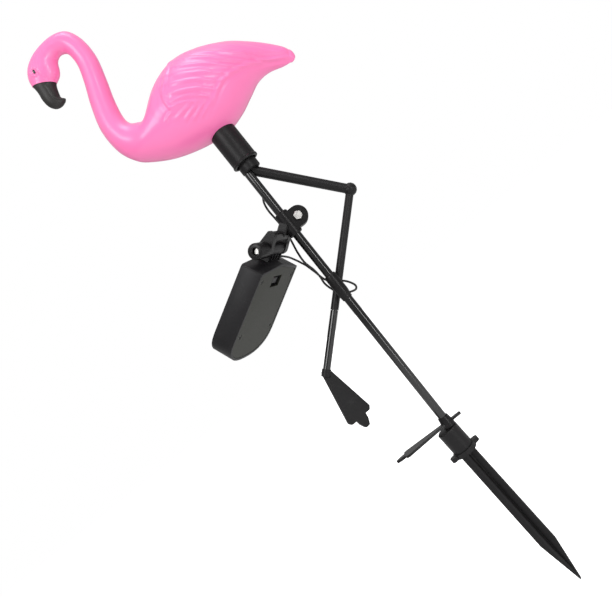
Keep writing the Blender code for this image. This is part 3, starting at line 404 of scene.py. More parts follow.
@dataclass
class Graph:
    """Small helper that adds and joins shader nodes in a tree."""

    tree: bpy.types.NodeTree

    def add(self, kind: str, **settings: object) -> bpy.types.Node:
        """Adds a node and sets its properties and its inputs.

        Args:
            kind: Blender's node type.
            settings: properties by name, and inputs under the key "inputs".

        Returns:
            The node.
        """
        node = self.tree.nodes.new(kind)
        inputs = settings.pop("inputs", {})
        for key, value in settings.items():
            setattr(node, key, value)
        self.feed_all(node, inputs)
        return node

    def feed(self, socket: bpy.types.NodeSocket, value: object) -> None:
        """Joins an output to a socket, or sets the socket's number.

        Args:
            socket: the input.
            value: an output socket, a number or a tuple.
        """
        if isinstance(value, bpy.types.NodeSocket):
            self.tree.links.new(value, socket)
        else:
            socket.default_value = value

    def feed_all(self, node: bpy.types.Node, inputs: dict) -> None:
        """Feeds several inputs of a node, by their names or places."""
        for key, value in inputs.items():
            self.feed(node.inputs[key], value)

    def noise(self, vector: object, scale: object, detail: float = 2.0, rough: float = 0.5) -> Output:
        """Noise from 0 to 1 at a scale, per metre of the vector."""
        inputs = {"Vector": vector, "Scale": scale, "Detail": detail, "Roughness": rough}
        return self.add("ShaderNodeTexNoise", inputs=inputs).outputs["Fac"]

    def ramp(self, value: object, low: float, high: float, start: float = 0.0, end: float = 1.0) -> Output:
        """Smooth ramp from start to end as a value goes from low to high."""
        inputs = {"Value": value, "From Min": low, "From Max": high, "To Min": start, "To Max": end}
        node = self.add("ShaderNodeMapRange", interpolation_type="SMOOTHSTEP", inputs=inputs)
        return node.outputs["Result"]

    def mix(self, share: object, first: object, second: object) -> Output:
        """Mix of two colours, whose sockets are numbers 6 and 7 of the node."""
        return self.add("ShaderNodeMix", data_type="RGBA", inputs={0: share, 6: first, 7: second}).outputs[2]

    def math(self, operation: str, first: object, second: object = 0.0) -> Output:
        """Arithmetic on two values."""
        return self.add("ShaderNodeMath", operation=operation, inputs={0: first, 1: second}).outputs[0]

    def plus(self, first: object, second: object) -> Output:
        """Sum of two values."""
        return self.math("ADD", first, second)

    def times(self, first: object, second: object) -> Output:
        """Product of two values."""
        return self.math("MULTIPLY", first, second)

    def scaled(self, vector: object, factor: object) -> Output:
        """Vector or colour times a value."""
        node = self.add("ShaderNodeVectorMath", operation="SCALE", inputs={0: vector, "Scale": factor})
        return node.outputs["Vector"]

    def height_of(self, vector: object) -> Output:
        """Z of a vector."""
        return self.add("ShaderNodeSeparateXYZ", inputs={"Vector": vector}).outputs["Z"]


class Group(Enum):
    """Effects that several finishes share."""

    MOTTLE = "colour_mottle"
    GRAIN = "moulded_grain"
    SCUFF = "handling_scuffs"
    DUST = "settled_dust"


SOCKET_KINDS = {"Vector": "NodeSocketVector", "Colour": "NodeSocketColor"}


def declare(graph: Graph, outputs: tuple[str, ...], **inputs: object) -> tuple[dict, dict]:
    """Declares a node group's sockets, numbers but for those named Vector or Colour.

    Args:
        graph: the group's nodes.
        outputs: names of the outputs.
        inputs: default of each input, or None for the socket's own.

    Returns:
        Input sockets to read and output sockets to feed, by name.
    """
    for name, default in inputs.items():
        kind = SOCKET_KINDS.get(name, "NodeSocketFloat")
        socket = graph.tree.interface.new_socket(name=name, in_out="INPUT", socket_type=kind)
        if default is not None:
            socket.default_value = default
    for name in outputs:
        kind = SOCKET_KINDS.get(name, "NodeSocketFloat")
        graph.tree.interface.new_socket(name=name, in_out="OUTPUT", socket_type=kind)
    source = graph.tree.nodes.new("NodeGroupInput")
    sink = graph.tree.nodes.new("NodeGroupOutput")
    return {s.name: s for s in source.outputs}, {s.name: s for s in sink.inputs}


@dataclass
class EffectLibrary:
    """Builds each shared effect once and places it in materials."""

    built: dict[Group, bpy.types.NodeTree] = field(default_factory=dict)

    def place(self, graph: Graph, effect: Group, **inputs: object) -> dict[str, Output]:
        """Places an effect in a material, and builds it first if it isn't there.

        Args:
            graph: the material's nodes.
            effect: which effect.
            inputs: the group's inputs by name.

        Returns:
            The group's outputs by name.
        """
        if effect not in self.built:
            makers = {
                Group.MOTTLE: self.mottle,
                Group.GRAIN: self.grain,
                Group.SCUFF: self.scuff,
                Group.DUST: self.dust,
            }
            self.built[effect] = bpy.data.node_groups.new(effect.value, "ShaderNodeTree")
            makers[effect](Graph(self.built[effect]))
        node = graph.add("ShaderNodeGroup", node_tree=self.built[effect], inputs=inputs)
        return {output.name: output for output in node.outputs}

    @staticmethod
    def mottle(graph: Graph, fine_times: float = 9.0, fine_share: float = 0.35) -> None:
        """Slow colour change: a colour lightened and darkened by two noises.

        Args:
            graph: the group's nodes.
            fine_times: how much finer the second noise is.
            fine_share: the second noise's share.
        """
        get, put = declare(graph, ("Colour", "Mask"), Vector=None, Colour=None, Scale=20.0, Amount=0.1)
        wide = graph.noise(get["Vector"], get["Scale"], detail=3.0)
        fine = graph.noise(get["Vector"], graph.times(get["Scale"], fine_times))
        both = graph.plus(graph.times(wide, 1.0 - fine_share), graph.times(fine, fine_share))
        centred = graph.times(graph.math("SUBTRACT", both, 0.5), graph.times(get["Amount"], 4.0))
        graph.feed(put["Colour"], graph.scaled(get["Colour"], graph.plus(centred, 1.0)))
        graph.feed(put["Mask"], both)

    @staticmethod
    def grain(graph: Graph, stretch: float = 0.12, streak_scale: float = 0.35) -> None:
        """Fine moulded grain: heights of a fine noise, with flow streaks of a stretched one.

        Args:
            graph: the group's nodes.
            stretch: scale of the streaks along Z beside that across it.
            streak_scale: the streaks' scale beside the grain's.
        """
        get, put = declare(graph, ("Height",), Vector=None, Scale=900.0, Streaks=0.2)
        fine = graph.noise(get["Vector"], get["Scale"], detail=3.0, rough=0.6)
        inputs = {0: get["Vector"], 1: (1.0, 1.0, stretch)}
        stretched = graph.add("ShaderNodeVectorMath", operation="MULTIPLY", inputs=inputs).outputs["Vector"]
        streak = graph.noise(stretched, graph.times(get["Scale"], streak_scale), detail=1.0)
        graph.feed(put["Height"], graph.plus(fine, graph.times(streak, get["Streaks"])))

    @staticmethod
    def scuff(graph: Graph, turn: Point = (0.5, 0.7, 0.3), stretch: float = 0.15) -> None:
        """Thin rubbed marks: narrow bands of a stretched noise, kept to a few patches.

        Args:
            graph: the group's nodes.
            turn: turn of the marks in radians.
            stretch: scale of the marks along their length.
        """
        get, put = declare(graph, ("Mask",), Vector=None, Scale=60.0, Amount=0.3)
        inputs = {"Vector": get["Vector"], "Rotation": turn, "Scale": (1.0, stretch, 1.0)}
        turned = graph.add("ShaderNodeMapping", inputs=inputs).outputs["Vector"]
        lines = graph.noise(turned, graph.times(get["Scale"], 7.0))
        off_middle = graph.math("ABSOLUTE", graph.math("SUBTRACT", lines, 0.5))
        thin = graph.math("SUBTRACT", 1.0, graph.ramp(off_middle, 0.004, 0.016))
        patch = graph.ramp(graph.noise(get["Vector"], get["Scale"], detail=1.0), 0.55, 0.68)
        graph.feed(put["Mask"], graph.times(graph.times(thin, patch), get["Amount"]))

    @staticmethod
    def dust(graph: Graph, speckle_scale: float = 420.0) -> None:
        """Faint dust: more on faces that look up, broken by noise.

        Args:
            graph: the group's nodes.
            speckle_scale: scale of the noise.
        """
        get, put = declare(graph, ("Mask",), Vector=None, Amount=0.2)
        up = graph.height_of(graph.add("ShaderNodeNewGeometry").outputs["Normal"])
        speckle = graph.noise(get["Vector"], speckle_scale, detail=3.0, rough=0.7)
        mask = graph.times(graph.ramp(up, 0.1, 0.9), graph.ramp(speckle, 0.45, 0.75))
        graph.feed(put["Mask"], graph.times(mask, get["Amount"]))


EFFECTS = EffectLibrary()

# Finishes


@dataclass(frozen=True)
class Finish:
    """A material's name and main colour. Each kind of finish wires its own nodes."""

    name: str
    colour: Colour

    def material(self) -> bpy.types.Material:
        """Builds the material, or returns it if it is there.

        Returns:
            The material.
        """
        material = bpy.data.materials.get(self.name)
        if material is None:
            material = bpy.data.materials.new(self.name)
            material.use_nodes = True
            self.wire(material, Graph(material.node_tree), material.node_tree.nodes["Principled BSDF"])
        return material

    def wire(self, material: bpy.types.Material, graph: Graph, shader: bpy.types.Node) -> None:
        """Joins the nodes that make the look.

        Args:
            material: the new material.
            graph: its nodes.
            shader: its Principled shader.
        """
        raise NotImplementedError

    @staticmethod
    def bump(graph: Graph, place: object, scale: float, streaks: float, depth: float) -> Output:
        """Normal of a surface with moulded grain of a scale and depth."""
        height = EFFECTS.place(graph, Group.GRAIN, Vector=place, Scale=scale, Streaks=streaks)["Height"]
        inputs = {"Height": height, "Distance": depth, "Strength": 1.0}
        return graph.add("ShaderNodeBump", inputs=inputs).outputs["Normal"]


@dataclass(frozen=True)
class PlasticFinish(Finish):
    """Moulded or painted plastic: mottled colour, grain, scuffs and a little dust."""

    roughness: float = 0.45
    mottle: float = 0.06
    mottle_scale: float = 22.0
    grain_scale: float = 900.0
    grain_depth: float = 0.04 * MM
    streaks: float = 0.2
    scuffs: float = 0.2
    scuff_colour: Colour = (0.10, 0.10, 0.10)
    dust: float = 0.05
    dust_colour: Colour = (0.30, 0.28, 0.25)
    coat: float = 0.0
    coat_roughness: float = 0.1
    specular: float = 0.5
    mottle_roughness: float = 0.1
    wear_roughness: float = 0.35

    def wire(self, material: bpy.types.Material, graph: Graph, shader: bpy.types.Node) -> None:
        """Joins the nodes: scuffs and dust over the mottled colour, and both make it rougher."""
        place = graph.add("ShaderNodeTexCoord").outputs["Object"]
        look = {"Colour": (*self.colour, 1.0), "Scale": self.mottle_scale, "Amount": self.mottle}
        mottle = EFFECTS.place(graph, Group.MOTTLE, Vector=place, **look)
        scuff = EFFECTS.place(graph, Group.SCUFF, Vector=place, Amount=self.scuffs)["Mask"]
        dust = EFFECTS.place(graph, Group.DUST, Vector=place, Amount=self.dust)["Mask"]
        scuffed = graph.mix(scuff, mottle["Colour"], (*self.scuff_colour, 1.0))
        slow = graph.times(mottle["Mask"], self.mottle_roughness)
        rough = graph.plus(self.roughness - self.mottle_roughness / 2, slow)
        inputs = {
            "Base Color": graph.mix(dust, scuffed, (*self.dust_colour, 1.0)),
            "Roughness": graph.plus(rough, graph.times(graph.plus(scuff, dust), self.wear_roughness)),
            "Normal": self.bump(graph, place, self.grain_scale, self.streaks, self.grain_depth),
            "Coat Weight": self.coat,
            "Coat Roughness": self.coat_roughness,
            "Specular IOR Level": self.specular,
        }
        graph.feed_all(shader, inputs)
        material.diffuse_color = (*self.colour, 1.0)


@dataclass(frozen=True)
class SteelFinish(Finish):
    """Plated steel: bright metal with fine turning marks and a few dull patches."""

    colour: Colour = (0.68, 0.67, 0.65)
    roughness: float = 0.24
    dullness: float = 0.18
    patch_scale: float = 160.0
    mark_scale: float = 2500.0
    mark_depth: float = 0.01 * MM

    def wire(self, material: bpy.types.Material, graph: Graph, shader: bpy.types.Node) -> None:
        """Joins the nodes: the mottle's mask dulls the metal in patches."""
        place = graph.add("ShaderNodeTexCoord").outputs["Object"]
        look = {"Colour": (*self.colour, 1.0), "Scale": self.patch_scale, "Amount": 0.12}
        mottle = EFFECTS.place(graph, Group.MOTTLE, Vector=place, **look)
        dullest = self.roughness + self.dullness
        inputs = {
            "Base Color": mottle["Colour"],
            "Metallic": 1.0,
            "Roughness": graph.ramp(mottle["Mask"], 0.3, 0.7, self.roughness, dullest),
            "Normal": self.bump(graph, place, self.mark_scale, 0.8, self.mark_depth),
        }
        graph.feed_all(shader, inputs)
        material.diffuse_color = (*self.colour, 1.0)


@dataclass(frozen=True)
class SolarFinish(Finish):
    """Solar cells under clear resin: blue-black strips with thin silver lines across them.

    It reads the piece's own UV map, in metres across and down the panel.
    """

    name: str = "solar_cells"
    colour: Colour = (0.010, 0.016, 0.045)
    line: Colour = (0.32, 0.34, 0.36)
    gap: Colour = (0.012, 0.012, 0.014)
    finger_pitch: float = 2.4 * MM
    bar_pitch: float = 21.0 * MM
    cell_pitch: float = 24.0 * MM
    finger_strength: float = 0.35
    crystal_scale: float = 260.0

    def wire(self, material: bpy.types.Material, graph: Graph, shader: bpy.types.Node) -> None:
        """Joins the nodes: crystals tint the cells, and fingers, bars and gaps lie over them."""
        coordinates = graph.add("ShaderNodeTexCoord").outputs
        spread = graph.add("ShaderNodeSeparateXYZ", inputs={"Vector": coordinates["UV"]}).outputs
        fingers = self.stripes(graph, spread["Y"], self.finger_pitch, 0.12)
        bars = self.stripes(graph, spread["X"], self.bar_pitch, 0.045)
        gaps = self.stripes(graph, spread["Y"], self.cell_pitch, 0.05)
        inputs = {"Vector": coordinates["Object"], "Scale": self.crystal_scale}
        crystal = graph.add("ShaderNodeTexVoronoi", inputs=inputs).outputs["Distance"]
        base = graph.scaled(self.colour, graph.plus(0.8, graph.times(crystal, 0.5)))
        silver = graph.math("MAXIMUM", graph.times(fingers, self.finger_strength), bars)
        lined = graph.mix(silver, base, (*self.line, 1.0))
        dust = EFFECTS.place(graph, Group.DUST, Vector=coordinates["Object"], Amount=0.12)["Mask"]
        inputs = {
            "Base Color": graph.mix(gaps, lined, (*self.gap, 1.0)),
            "Roughness": graph.plus(0.16, dust),
            "Coat Weight": 0.6,
            "Coat Roughness": 0.06,
        }
        graph.feed_all(shader, inputs)

    @staticmethod
    def stripes(graph: Graph, value: object, pitch: float, share: float) -> Output:
        """Stripes: 1 where the value's place in its pitch is under the share."""
        place = graph.math("FRACT", graph.math("DIVIDE", graph.plus(value, 10.0 * pitch), pitch))
        return graph.math("LESS_THAN", place, share)


@dataclass(frozen=True)
class FloorFinish(Finish):
    """Pale floor, which shines a little in the camera's view alone, so that it meets the white."""

    name: str = "pale_floor"
    colour: Colour = (0.93, 0.93, 0.93)
    lighter: Colour = (0.95, 0.95, 0.95)
    shine: float = 0.85

    def wire(self, material: bpy.types.Material, graph: Graph, shader: bpy.types.Node) -> None:
        """Joins the nodes: a slow noise between two tints."""
        place = graph.add("ShaderNodeTexCoord").outputs["Object"]
        seen = graph.add("ShaderNodeLightPath").outputs["Is Camera Ray"]
        inputs = {
            "Base Color": graph.mix(graph.noise(place, 3.0), (*self.colour, 1.0), (*self.lighter, 1.0)),
            "Roughness": 0.9,
            "Specular IOR Level": 0.1,
            "Emission Color": (1.0, 1.0, 1.0, 1.0),
            "Emission Strength": graph.times(seen, self.shine),
        }
        graph.feed_all(shader, inputs)


def moulded_black(name: str, colour: Colour, roughness: float, depth: float, **more: float) -> PlasticFinish:
    """Black moulded plastic, with a weaker shine than paint.

    Args:
        name: material name.
        colour: main colour.
        roughness: roughness of the surface.
        depth: depth of the grain.
        more: other values of the finish.

    Returns:
        The finish.
    """
    values = {"mottle": 0.10, "specular": 0.25, **more}
    return PlasticFinish(name, colour, roughness=roughness, grain_depth=depth, **values)


PINK = PlasticFinish(
    "glossy_pink_shell",
    linear(253, 124, 184),
    roughness=0.33,
    mottle=0.010,
    mottle_scale=9.0,
    grain_scale=260.0,
    grain_depth=0.004 * MM,
    streaks=0.1,
    scuffs=0.05,
    scuff_colour=linear(255, 170, 210),
    dust=0.0,
    coat=0.25,
    coat_roughness=0.12,
)
EYE_BLACK = PlasticFinish(
    "eye_black_paint",
    (0.006, 0.006, 0.007),
    roughness=0.15,
    scuffs=0.0,
    dust=0.0,
    grain_depth=0.004 * MM,
    coat=0.6,
    coat_roughness=0.05,
)
BEAK_BLACK = PlasticFinish(
    "beak_black_paint",
    linear(26, 24, 22),
    roughness=0.5,
    mottle=0.12,
    grain_scale=700.0,
    grain_depth=0.06 * MM,
    scuffs=0.25,
)
MATTE_BLACK = moulded_black("matte_black_plastic", linear(22, 21, 22), 0.42, 0.05 * MM)
SATIN_BLACK = moulded_black("satin_black_plastic", linear(18, 17, 18), 0.34, 0.03 * MM)
HOUSING = moulded_black(
    "panel_housing_plastic", linear(24, 23, 25), 0.42, 0.06 * MM, mottle=0.09, grain_scale=1300.0
)
COVER = moulded_black(
    "panel_cover_plastic", linear(38, 39, 32), 0.5, 0.07 * MM, mottle=0.09, grain_scale=1300.0
)
TUBE_PAINT = PlasticFinish(
    "black_tube_paint",
    linear(12, 12, 13),
    roughness=0.17,
    mottle=0.08,
    mottle_scale=60.0,
    grain_scale=500.0,
    grain_depth=0.003 * MM,
    coat=0.4,
    coat_roughness=0.08,
)
SCREW_BLACK = PlasticFinish("blackened_screws", linear(14, 14, 15), roughness=0.35, grain_depth=0.01 * MM)
SHEATH = PlasticFinish(
    "lead_sheath", linear(16, 16, 17), roughness=0.4, grain_scale=1500.0, grain_depth=0.02 * MM
)
STEEL = SteelFinish("plated_steel")


def dress(obj: bpy.types.Object, finish: Finish, body: str, slot: str, *nodes: str) -> bpy.types.Object:
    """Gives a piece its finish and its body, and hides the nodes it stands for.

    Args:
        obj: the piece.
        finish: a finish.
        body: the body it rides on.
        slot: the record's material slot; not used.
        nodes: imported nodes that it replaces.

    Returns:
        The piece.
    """
    obj.data.materials.clear()
    obj.data.materials.append(finish.material())
    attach(obj, body)
    if nodes:
        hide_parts(*nodes)
    log.info("%s: %d faces on %s", obj.name, len(obj.data.polygons), body)
    return obj


# Bird


def segment_distance(
    x: np.ndarray, z: np.ndarray, start: Sequence[float], end: Sequence[float]
) -> np.ndarray:
    """Distance of points in the side view from the segment between two points."""
    dx, dz = end[0] - start[0], end[1] - start[1]
    share = np.clip(((x - start[0]) * dx + (z - start[1]) * dz) / (dx * dx + dz * dz), 0.0, 1.0)
    return np.hypot(x - start[0] - share * dx, z - start[1] - share * dz)


def line_distance(x: np.ndarray, z: np.ndarray, row: np.ndarray) -> np.ndarray:
    """Distance of points in the side view from the infinite line through a row's two ends."""
    across = np.array((row[3] - row[1], row[0] - row[2]))
    across /= np.linalg.norm(across)
    return np.abs((x - row[0]) * across[0] + (z - row[1]) * across[1])


@dataclass
class Wing:
    """Feather relief of a wing, drawn in the bird's side view.

    Low overlapping rows carry drawn lines: the quills, the wing's edges and its wide front.
    """

    rows_mm: tuple[tuple[float, float, float, float], ...] = (
        (46.0, 501.0, 106.0, 445.0),
        (28.0, 506.5, 85.0, 457.0),
        (13.0, 506.5, 73.0, 461.0),
        (1.0, 503.0, 58.0, 466.0),
        (-7.0, 498.5, 45.0, 467.0),
        (-14.0, 493.0, 33.0, 464.0),
        (-20.0, 485.0, 22.0, 460.0),
        (-23.5, 475.0, 13.0, 454.0),
        (-24.5, 457.0, 2.0, 446.5),
    )
    base: float = 0.35 * MM
    shoulder: float = 0.35 * MM
    shoulder_share: float = 0.12
    rise: float = 0.45 * MM
    fall_share: float = 0.18
    tip_bow: float = 0.05
    soft: float = 1.6 * MM
    quills_mm: tuple[Outline, ...] = (
        ((29.4, 492.5), (50.4, 476.1), (69.3, 461.4), (86.8, 448.0), (110.3, 437.4)),
        ((19.8, 491.7), (40.8, 474.8), (58.9, 459.5), (73.0, 451.6)),
        ((8.5, 489.2), (30.8, 473.6), (50.7, 457.9), (62.5, 452.9)),
        ((0.7, 482.8), (22.7, 468.6), (40.1, 455.7), (47.9, 452.9)),
        ((-8.5, 478.2), (11.8, 466.8), (27.6, 454.7), (37.1, 449.6)),
        ((-15.0, 471.5), (4.6, 461.2), (18.3, 452.0), (25.3, 445.8)),
        ((-18.8, 464.8), (-2.4, 458.6), (11.0, 449.1), (15.7, 443.5)),
        ((-22.2, 460.1), (-11.7, 457.9), (1.2, 450.0)),
        ((-3.5, 450.7), (-14.5, 450.4), (-25.1, 449.4)),
        ((1.1, 447.3), (-8.9, 445.5), (-19.6, 442.7)),
        ((8.0, 444.6), (-1.9, 441.4), (-11.9, 438.6)),
        ((-21.2, 455.9), (-28.1, 456.2), (-34.3, 453.5)),
        ((13.9, 442.5), (4.3, 439.2), (-4.3, 436.3)),
    )
    edges_mm: tuple[Outline, ...] = (
        ((9.0, 506.3), (-6.4, 489.4), (-16.5, 479.0), (-21.6, 469.6), (-22.7, 460.3)),
        (
            (110.0, 437.0),
            (86.2, 447.4),
            (64.2, 452.1),
            (43.5, 451.7),
            (31.1, 449.0),
            (16.7, 441.7),
            (2.3, 435.6),
        ),
    )
    front_mm: Outline = ((-9.3, 500.3), (-18.5, 494.3), (-30.3, 482.2), (-36.0, 469.2), (-33.4, 456.2))
    quill_width: float = 2.3 * MM
    quill_rise: float = 0.95 * MM
    edge_width: float = 3.0 * MM
    edge_rise: float = 1.05 * MM
    front_width: float = 4.8 * MM
    front_rise: float = 0.35 * MM
    groove_width: float = 2.0 * MM
    groove_share: float = 0.45
    end_taper: float = 0.75

    def height(self, x: np.ndarray, z: np.ndarray) -> np.ndarray:
        """Height of the relief above the body at points of the side view.

        Args:
            x: places along X.
            z: places along Z.

        Returns:
            Heights in metres.
        """
        rows = np.array(self.rows_mm) * MM
        total = np.zeros_like(x)
        for upper, lower in zip(rows, rows[1:]):
            total = np.maximum(total, self.feather(x, z, upper, lower))
        for row in (rows[0], rows[-1]):
            total *= smoothstep(0.0, self.soft, line_distance(x, z, row))
        for strokes, rise, width in (
            (self.quills_mm, self.quill_rise, self.quill_width),
            (self.edges_mm, self.edge_rise, self.edge_width),
            ((self.front_mm,), self.front_rise, self.front_width),
        ):
            for stroke in strokes:
                total += rise * self.stroke(x, z, stroke, width)
        return total

    def feather(self, x: np.ndarray, z: np.ndarray, upper: np.ndarray, lower: np.ndarray) -> np.ndarray:
        """Height of one feather: it rises across its width, then falls short before the next.

        Args:
            x: places along X.
            z: places along Z.
            upper: front and tip of the upper row.
            lower: front and tip of the lower row.

        Returns:
            Heights in metres, 0 outside the feather.
        """
        s, t, inside = self.patch_place(x, z, upper, lower)
        soft = self.soft / np.linalg.norm((upper[2:] + lower[2:] - upper[:2] - lower[:2]) / 2)
        saw = np.where(s < 1.0 - self.fall_share, s / (1.0 - self.fall_share), (1.0 - s) / self.fall_share)
        reach = 1.0 + self.tip_bow * (1.0 - (2.0 * s - 0.8) ** 2)
        ends = smoothstep(0.0, soft, t) * (1.0 - smoothstep(reach - soft, reach, t))
        shoulder = self.shoulder * np.clip(1.0 - t / self.shoulder_share, 0.0, 1.0)
        return np.where(inside, (self.base + shoulder + self.rise * saw) * ends, 0.0)

    def stroke(self, x: np.ndarray, z: np.ndarray, points_mm: Outline, width: float) -> np.ndarray:
        """Raised line along a smooth curve: a ridge of its distance, lower towards both ends.

        Args:
            x: places along X.
            z: places along Z.
            points_mm: points of the curve.
            width: half of the ridge's width.

        Returns:
            Height as a share, with a shallow groove beside it.
        """
        curve = fine_curve(np.array(points_mm) * MM, CURVE_STEPS)
        nearest = np.full(x.shape, 1.0)
        taper = np.zeros(x.shape)
        for start, end, at in zip(curve, curve[1:], np.linspace(-1.0, 1.0, len(curve) - 1)):
            distance = segment_distance(x, z, start, end)
            closer = distance < nearest
            nearest = np.where(closer, distance, nearest)
            taper = np.where(closer, 1.0 - abs(at) ** 3 * self.end_taper, taper)
        groove = ridge(nearest - width - 0.3 * self.groove_width, self.groove_width)
        return taper * (ridge(nearest, width) - self.groove_share * groove)

    @staticmethod
    def patch_place(
        x: np.ndarray, z: np.ndarray, upper: np.ndarray, lower: np.ndarray
    ) -> tuple[np.ndarray, np.ndarray, np.ndarray]:
        """Place of points in the four-sided patch between two rows.

        The patch is bilinear, P = a + s e + t f + s t g, and crossing it with e + t g leaves a
        quadratic in t.

        Args:
            x: places along X.
            z: places along Z.
            upper: front and tip of the upper row.
            lower: front and tip of the lower row.

        Returns:
            Shares s across and t along the patch, and which points lie in it.
        """
        a, d = upper[:2], upper[2:]
        b, c = lower[:2], lower[2:]
        e, f, g = b - a, d - a, a - b + c - d
        hx, hz = x - a[0], z - a[1]
        k2 = g[0] * f[1] - g[1] * f[0]
        k1 = e[0] * f[1] - e[1] * f[0] + hx * g[1] - hz * g[0]
        k0 = hx * e[1] - hz * e[0]
        if abs(k2) < TINY:
            t = -k0 / k1
        else:
            root = np.sqrt(np.maximum(k1 * k1 - 4.0 * k2 * k0, 0.0))
            first, second = (-k1 - root) / (2.0 * k2), (-k1 + root) / (2.0 * k2)
            t = np.where(np.abs(first - 0.5) < np.abs(second - 0.5), first, second)
        ex, ez = e[0] + g[0] * t, e[1] + g[1] * t
        wide = np.abs(ex) > np.abs(ez)
        s_by_x = (hx - f[0] * t) / np.where(wide, ex, 1.0)
        s_by_z = (hz - f[1] * t) / np.where(wide, 1.0, ez)
        s = np.where(wide, s_by_x, s_by_z)
        inside = (s >= 0.0) & (s <= 1.0) & (t >= -0.02) & (t <= 1.08)
        return np.clip(s, 0.0, 1.0), t, inside


@dataclass
class Bird:
    """Head, neck, body and tail in one glossy shell, with its beak and eyes."""

    sections_mm: tuple[Section, ...] = (
        (-120.7, 582.4, -97.6, 570.8, 8.6),
        (-119.0, 590.6, -90.7, 574.8, 10.6),
        (-113.2, 599.2, -87.0, 580.0, 11.6),
        (-102.3, 606.3, -83.3, 587.3, 10.8),
        (-87.5, 610.5, -78.0, 591.0, 10.2),
        (-70.1, 610.9, -73.4, 590.4, 10.6),
        (-56.0, 605.0, -70.0, 587.0, 10.8),
        (-48.6, 589.2, -68.7, 579.7, 10.6),
        (-48.0, 567.0, -69.8, 568.0, 10.5),
        (-54.5, 541.8, -75.8, 550.3, 11.0),
        (-61.5, 519.9, -85.7, 526.2, 12.0),
        (-65.6, 500.0, -93.1, 500.0, 14.0),
        (-64.0, 489.0, -92.4, 473.8, 17.0),
        (-56.8, 483.2, -84.4, 455.6, 21.0),
        (-47.1, 481.3, -73.0, 445.0, 27.0),
        (-23.3, 499.5, -48.0, 431.0, 35.0),
        (2.9, 508.9, -16.0, 421.5, 41.0),
        (26.2, 507.4, 12.0, 419.0, 42.0),
        (49.1, 499.5, 34.0, 424.0, 38.0),
        (68.5, 490.1, 54.0, 433.0, 30.0),
        (85.3, 477.3, 68.9, 439.7, 22.0),
        (98.3, 465.8, 83.6, 440.2, 14.5),
        (110.2, 452.6, 99.2, 435.6, 9.0),
        (114.0, 446.0, 107.2, 434.2, 4.8),
    )
    beak_mm: tuple[Section, ...] = (
        (-119.9, 573.6, -101.1, 565.7, 7.9),
        (-121.0, 564.3, -103.0, 559.9, 7.3),
        (-120.0, 555.8, -103.8, 556.4, 6.4),
        (-115.9, 549.6, -103.1, 554.3, 5.2),
        (-109.8, 547.6, -101.9, 553.1, 3.8),
        (-104.4, 548.7, -100.9, 551.8, 2.0),
    )
    chest_row: int = 13
    neck_rings: int = 130
    body_rings: int = 230
    columns: int = 256
    rim_steps: Outline = ((0.93, -1.6), (0.945, -0.1), (0.965, 0.42), (0.985, 0.45), (0.998, 0.2))
    tail_tip: Point = (115.3 * MM, 0.0, 436.0 * MM)
    tail_rings: int = 12
    tail_point: float = 1.4
    eye_at: tuple[float, float] = (-108.1 * MM, 588.6 * MM)
    eye_ring: float = 4.1 * MM
    eye_ring_width: float = 1.3 * MM
    eye_half: Point = (1.4 * MM, 2.3 * MM, 0.8 * MM)
    eye_sunk: float = 0.15 * MM
    eye_up: Point = (0.12, 0.0, 0.99)
    eye_rings: int = 24
    eye_columns: int = 32
    crease: Outline = ((-106.0 * MM, 584.5 * MM), (-102.6 * MM, 575.5 * MM))
    beak_share: float = 0.94
    beak_gap: float = 0.3 * MM
    beak_rings: int = 90
    beak_columns: int = 96
    mouth_depth: float = 0.55 * MM
    mouth_lip: float = 0.25 * MM
    mouth_half: float = 0.16
    lip_half: float = 0.2
    wing: Wing = field(default_factory=Wing)
    wing_fade_x: tuple[float, float] = (-75.0 * MM, -55.0 * MM)
    wing_fade_side: tuple[float, float] = (0.25, 0.62)
    wing_top_z: float = 520.0 * MM
    head_fade_y: tuple[float, float] = (2.0 * MM, 4.0 * MM)
    head_bottom_z: float = 560.0 * MM
    ring_height: float = 0.75 * MM
    pressed: float = 0.5 * MM

    def shell_grid(self) -> tuple[np.ndarray, np.ndarray]:
        """Rings of the smooth body.

        Returns:
            Points and outward normals.
        """
        rows = np.array(self.sections_mm) * MM
        neck = np.linspace(0.0, self.chest_row, self.neck_rings, endpoint=False)
        body = np.linspace(self.chest_row, len(rows) - 1, self.body_rings)
        grid = oval_rings(catmull(rows, np.concatenate([neck, body])), self.columns)
        return grid, grid_normals(grid)

    def relief(self, grid: np.ndarray) -> np.ndarray:
        """Height of the wings, the eye rings and the creases behind the beak.

        Args:
            grid: points of the body.

        Returns:
            Heights in metres.
        """
        x, y, z = grid[..., 0], grid[..., 1], grid[..., 2]
        on_body = smoothstep(*self.wing_fade_x, x) * (z < self.wing_top_z)
        side = np.abs(y) / np.maximum(np.abs(y).max(axis=1, keepdims=True), TINY)
        lift = self.wing.height(x, z) * on_body * smoothstep(*self.wing_fade_side, side)
        eye = np.hypot(x - self.eye_at[0], z - self.eye_at[1])
        on_head = smoothstep(*self.head_fade_y, np.abs(y)) * (z > self.head_bottom_z)
        lift += self.ring_height * ridge(eye - self.eye_ring, self.eye_ring_width) * on_head
        lift -= self.pressed * ridge(eye, self.eye_ring) * on_head
        crease = segment_distance(x, z, *self.crease)
        return lift - self.pressed * ridge(crease, self.eye_ring_width) * on_head

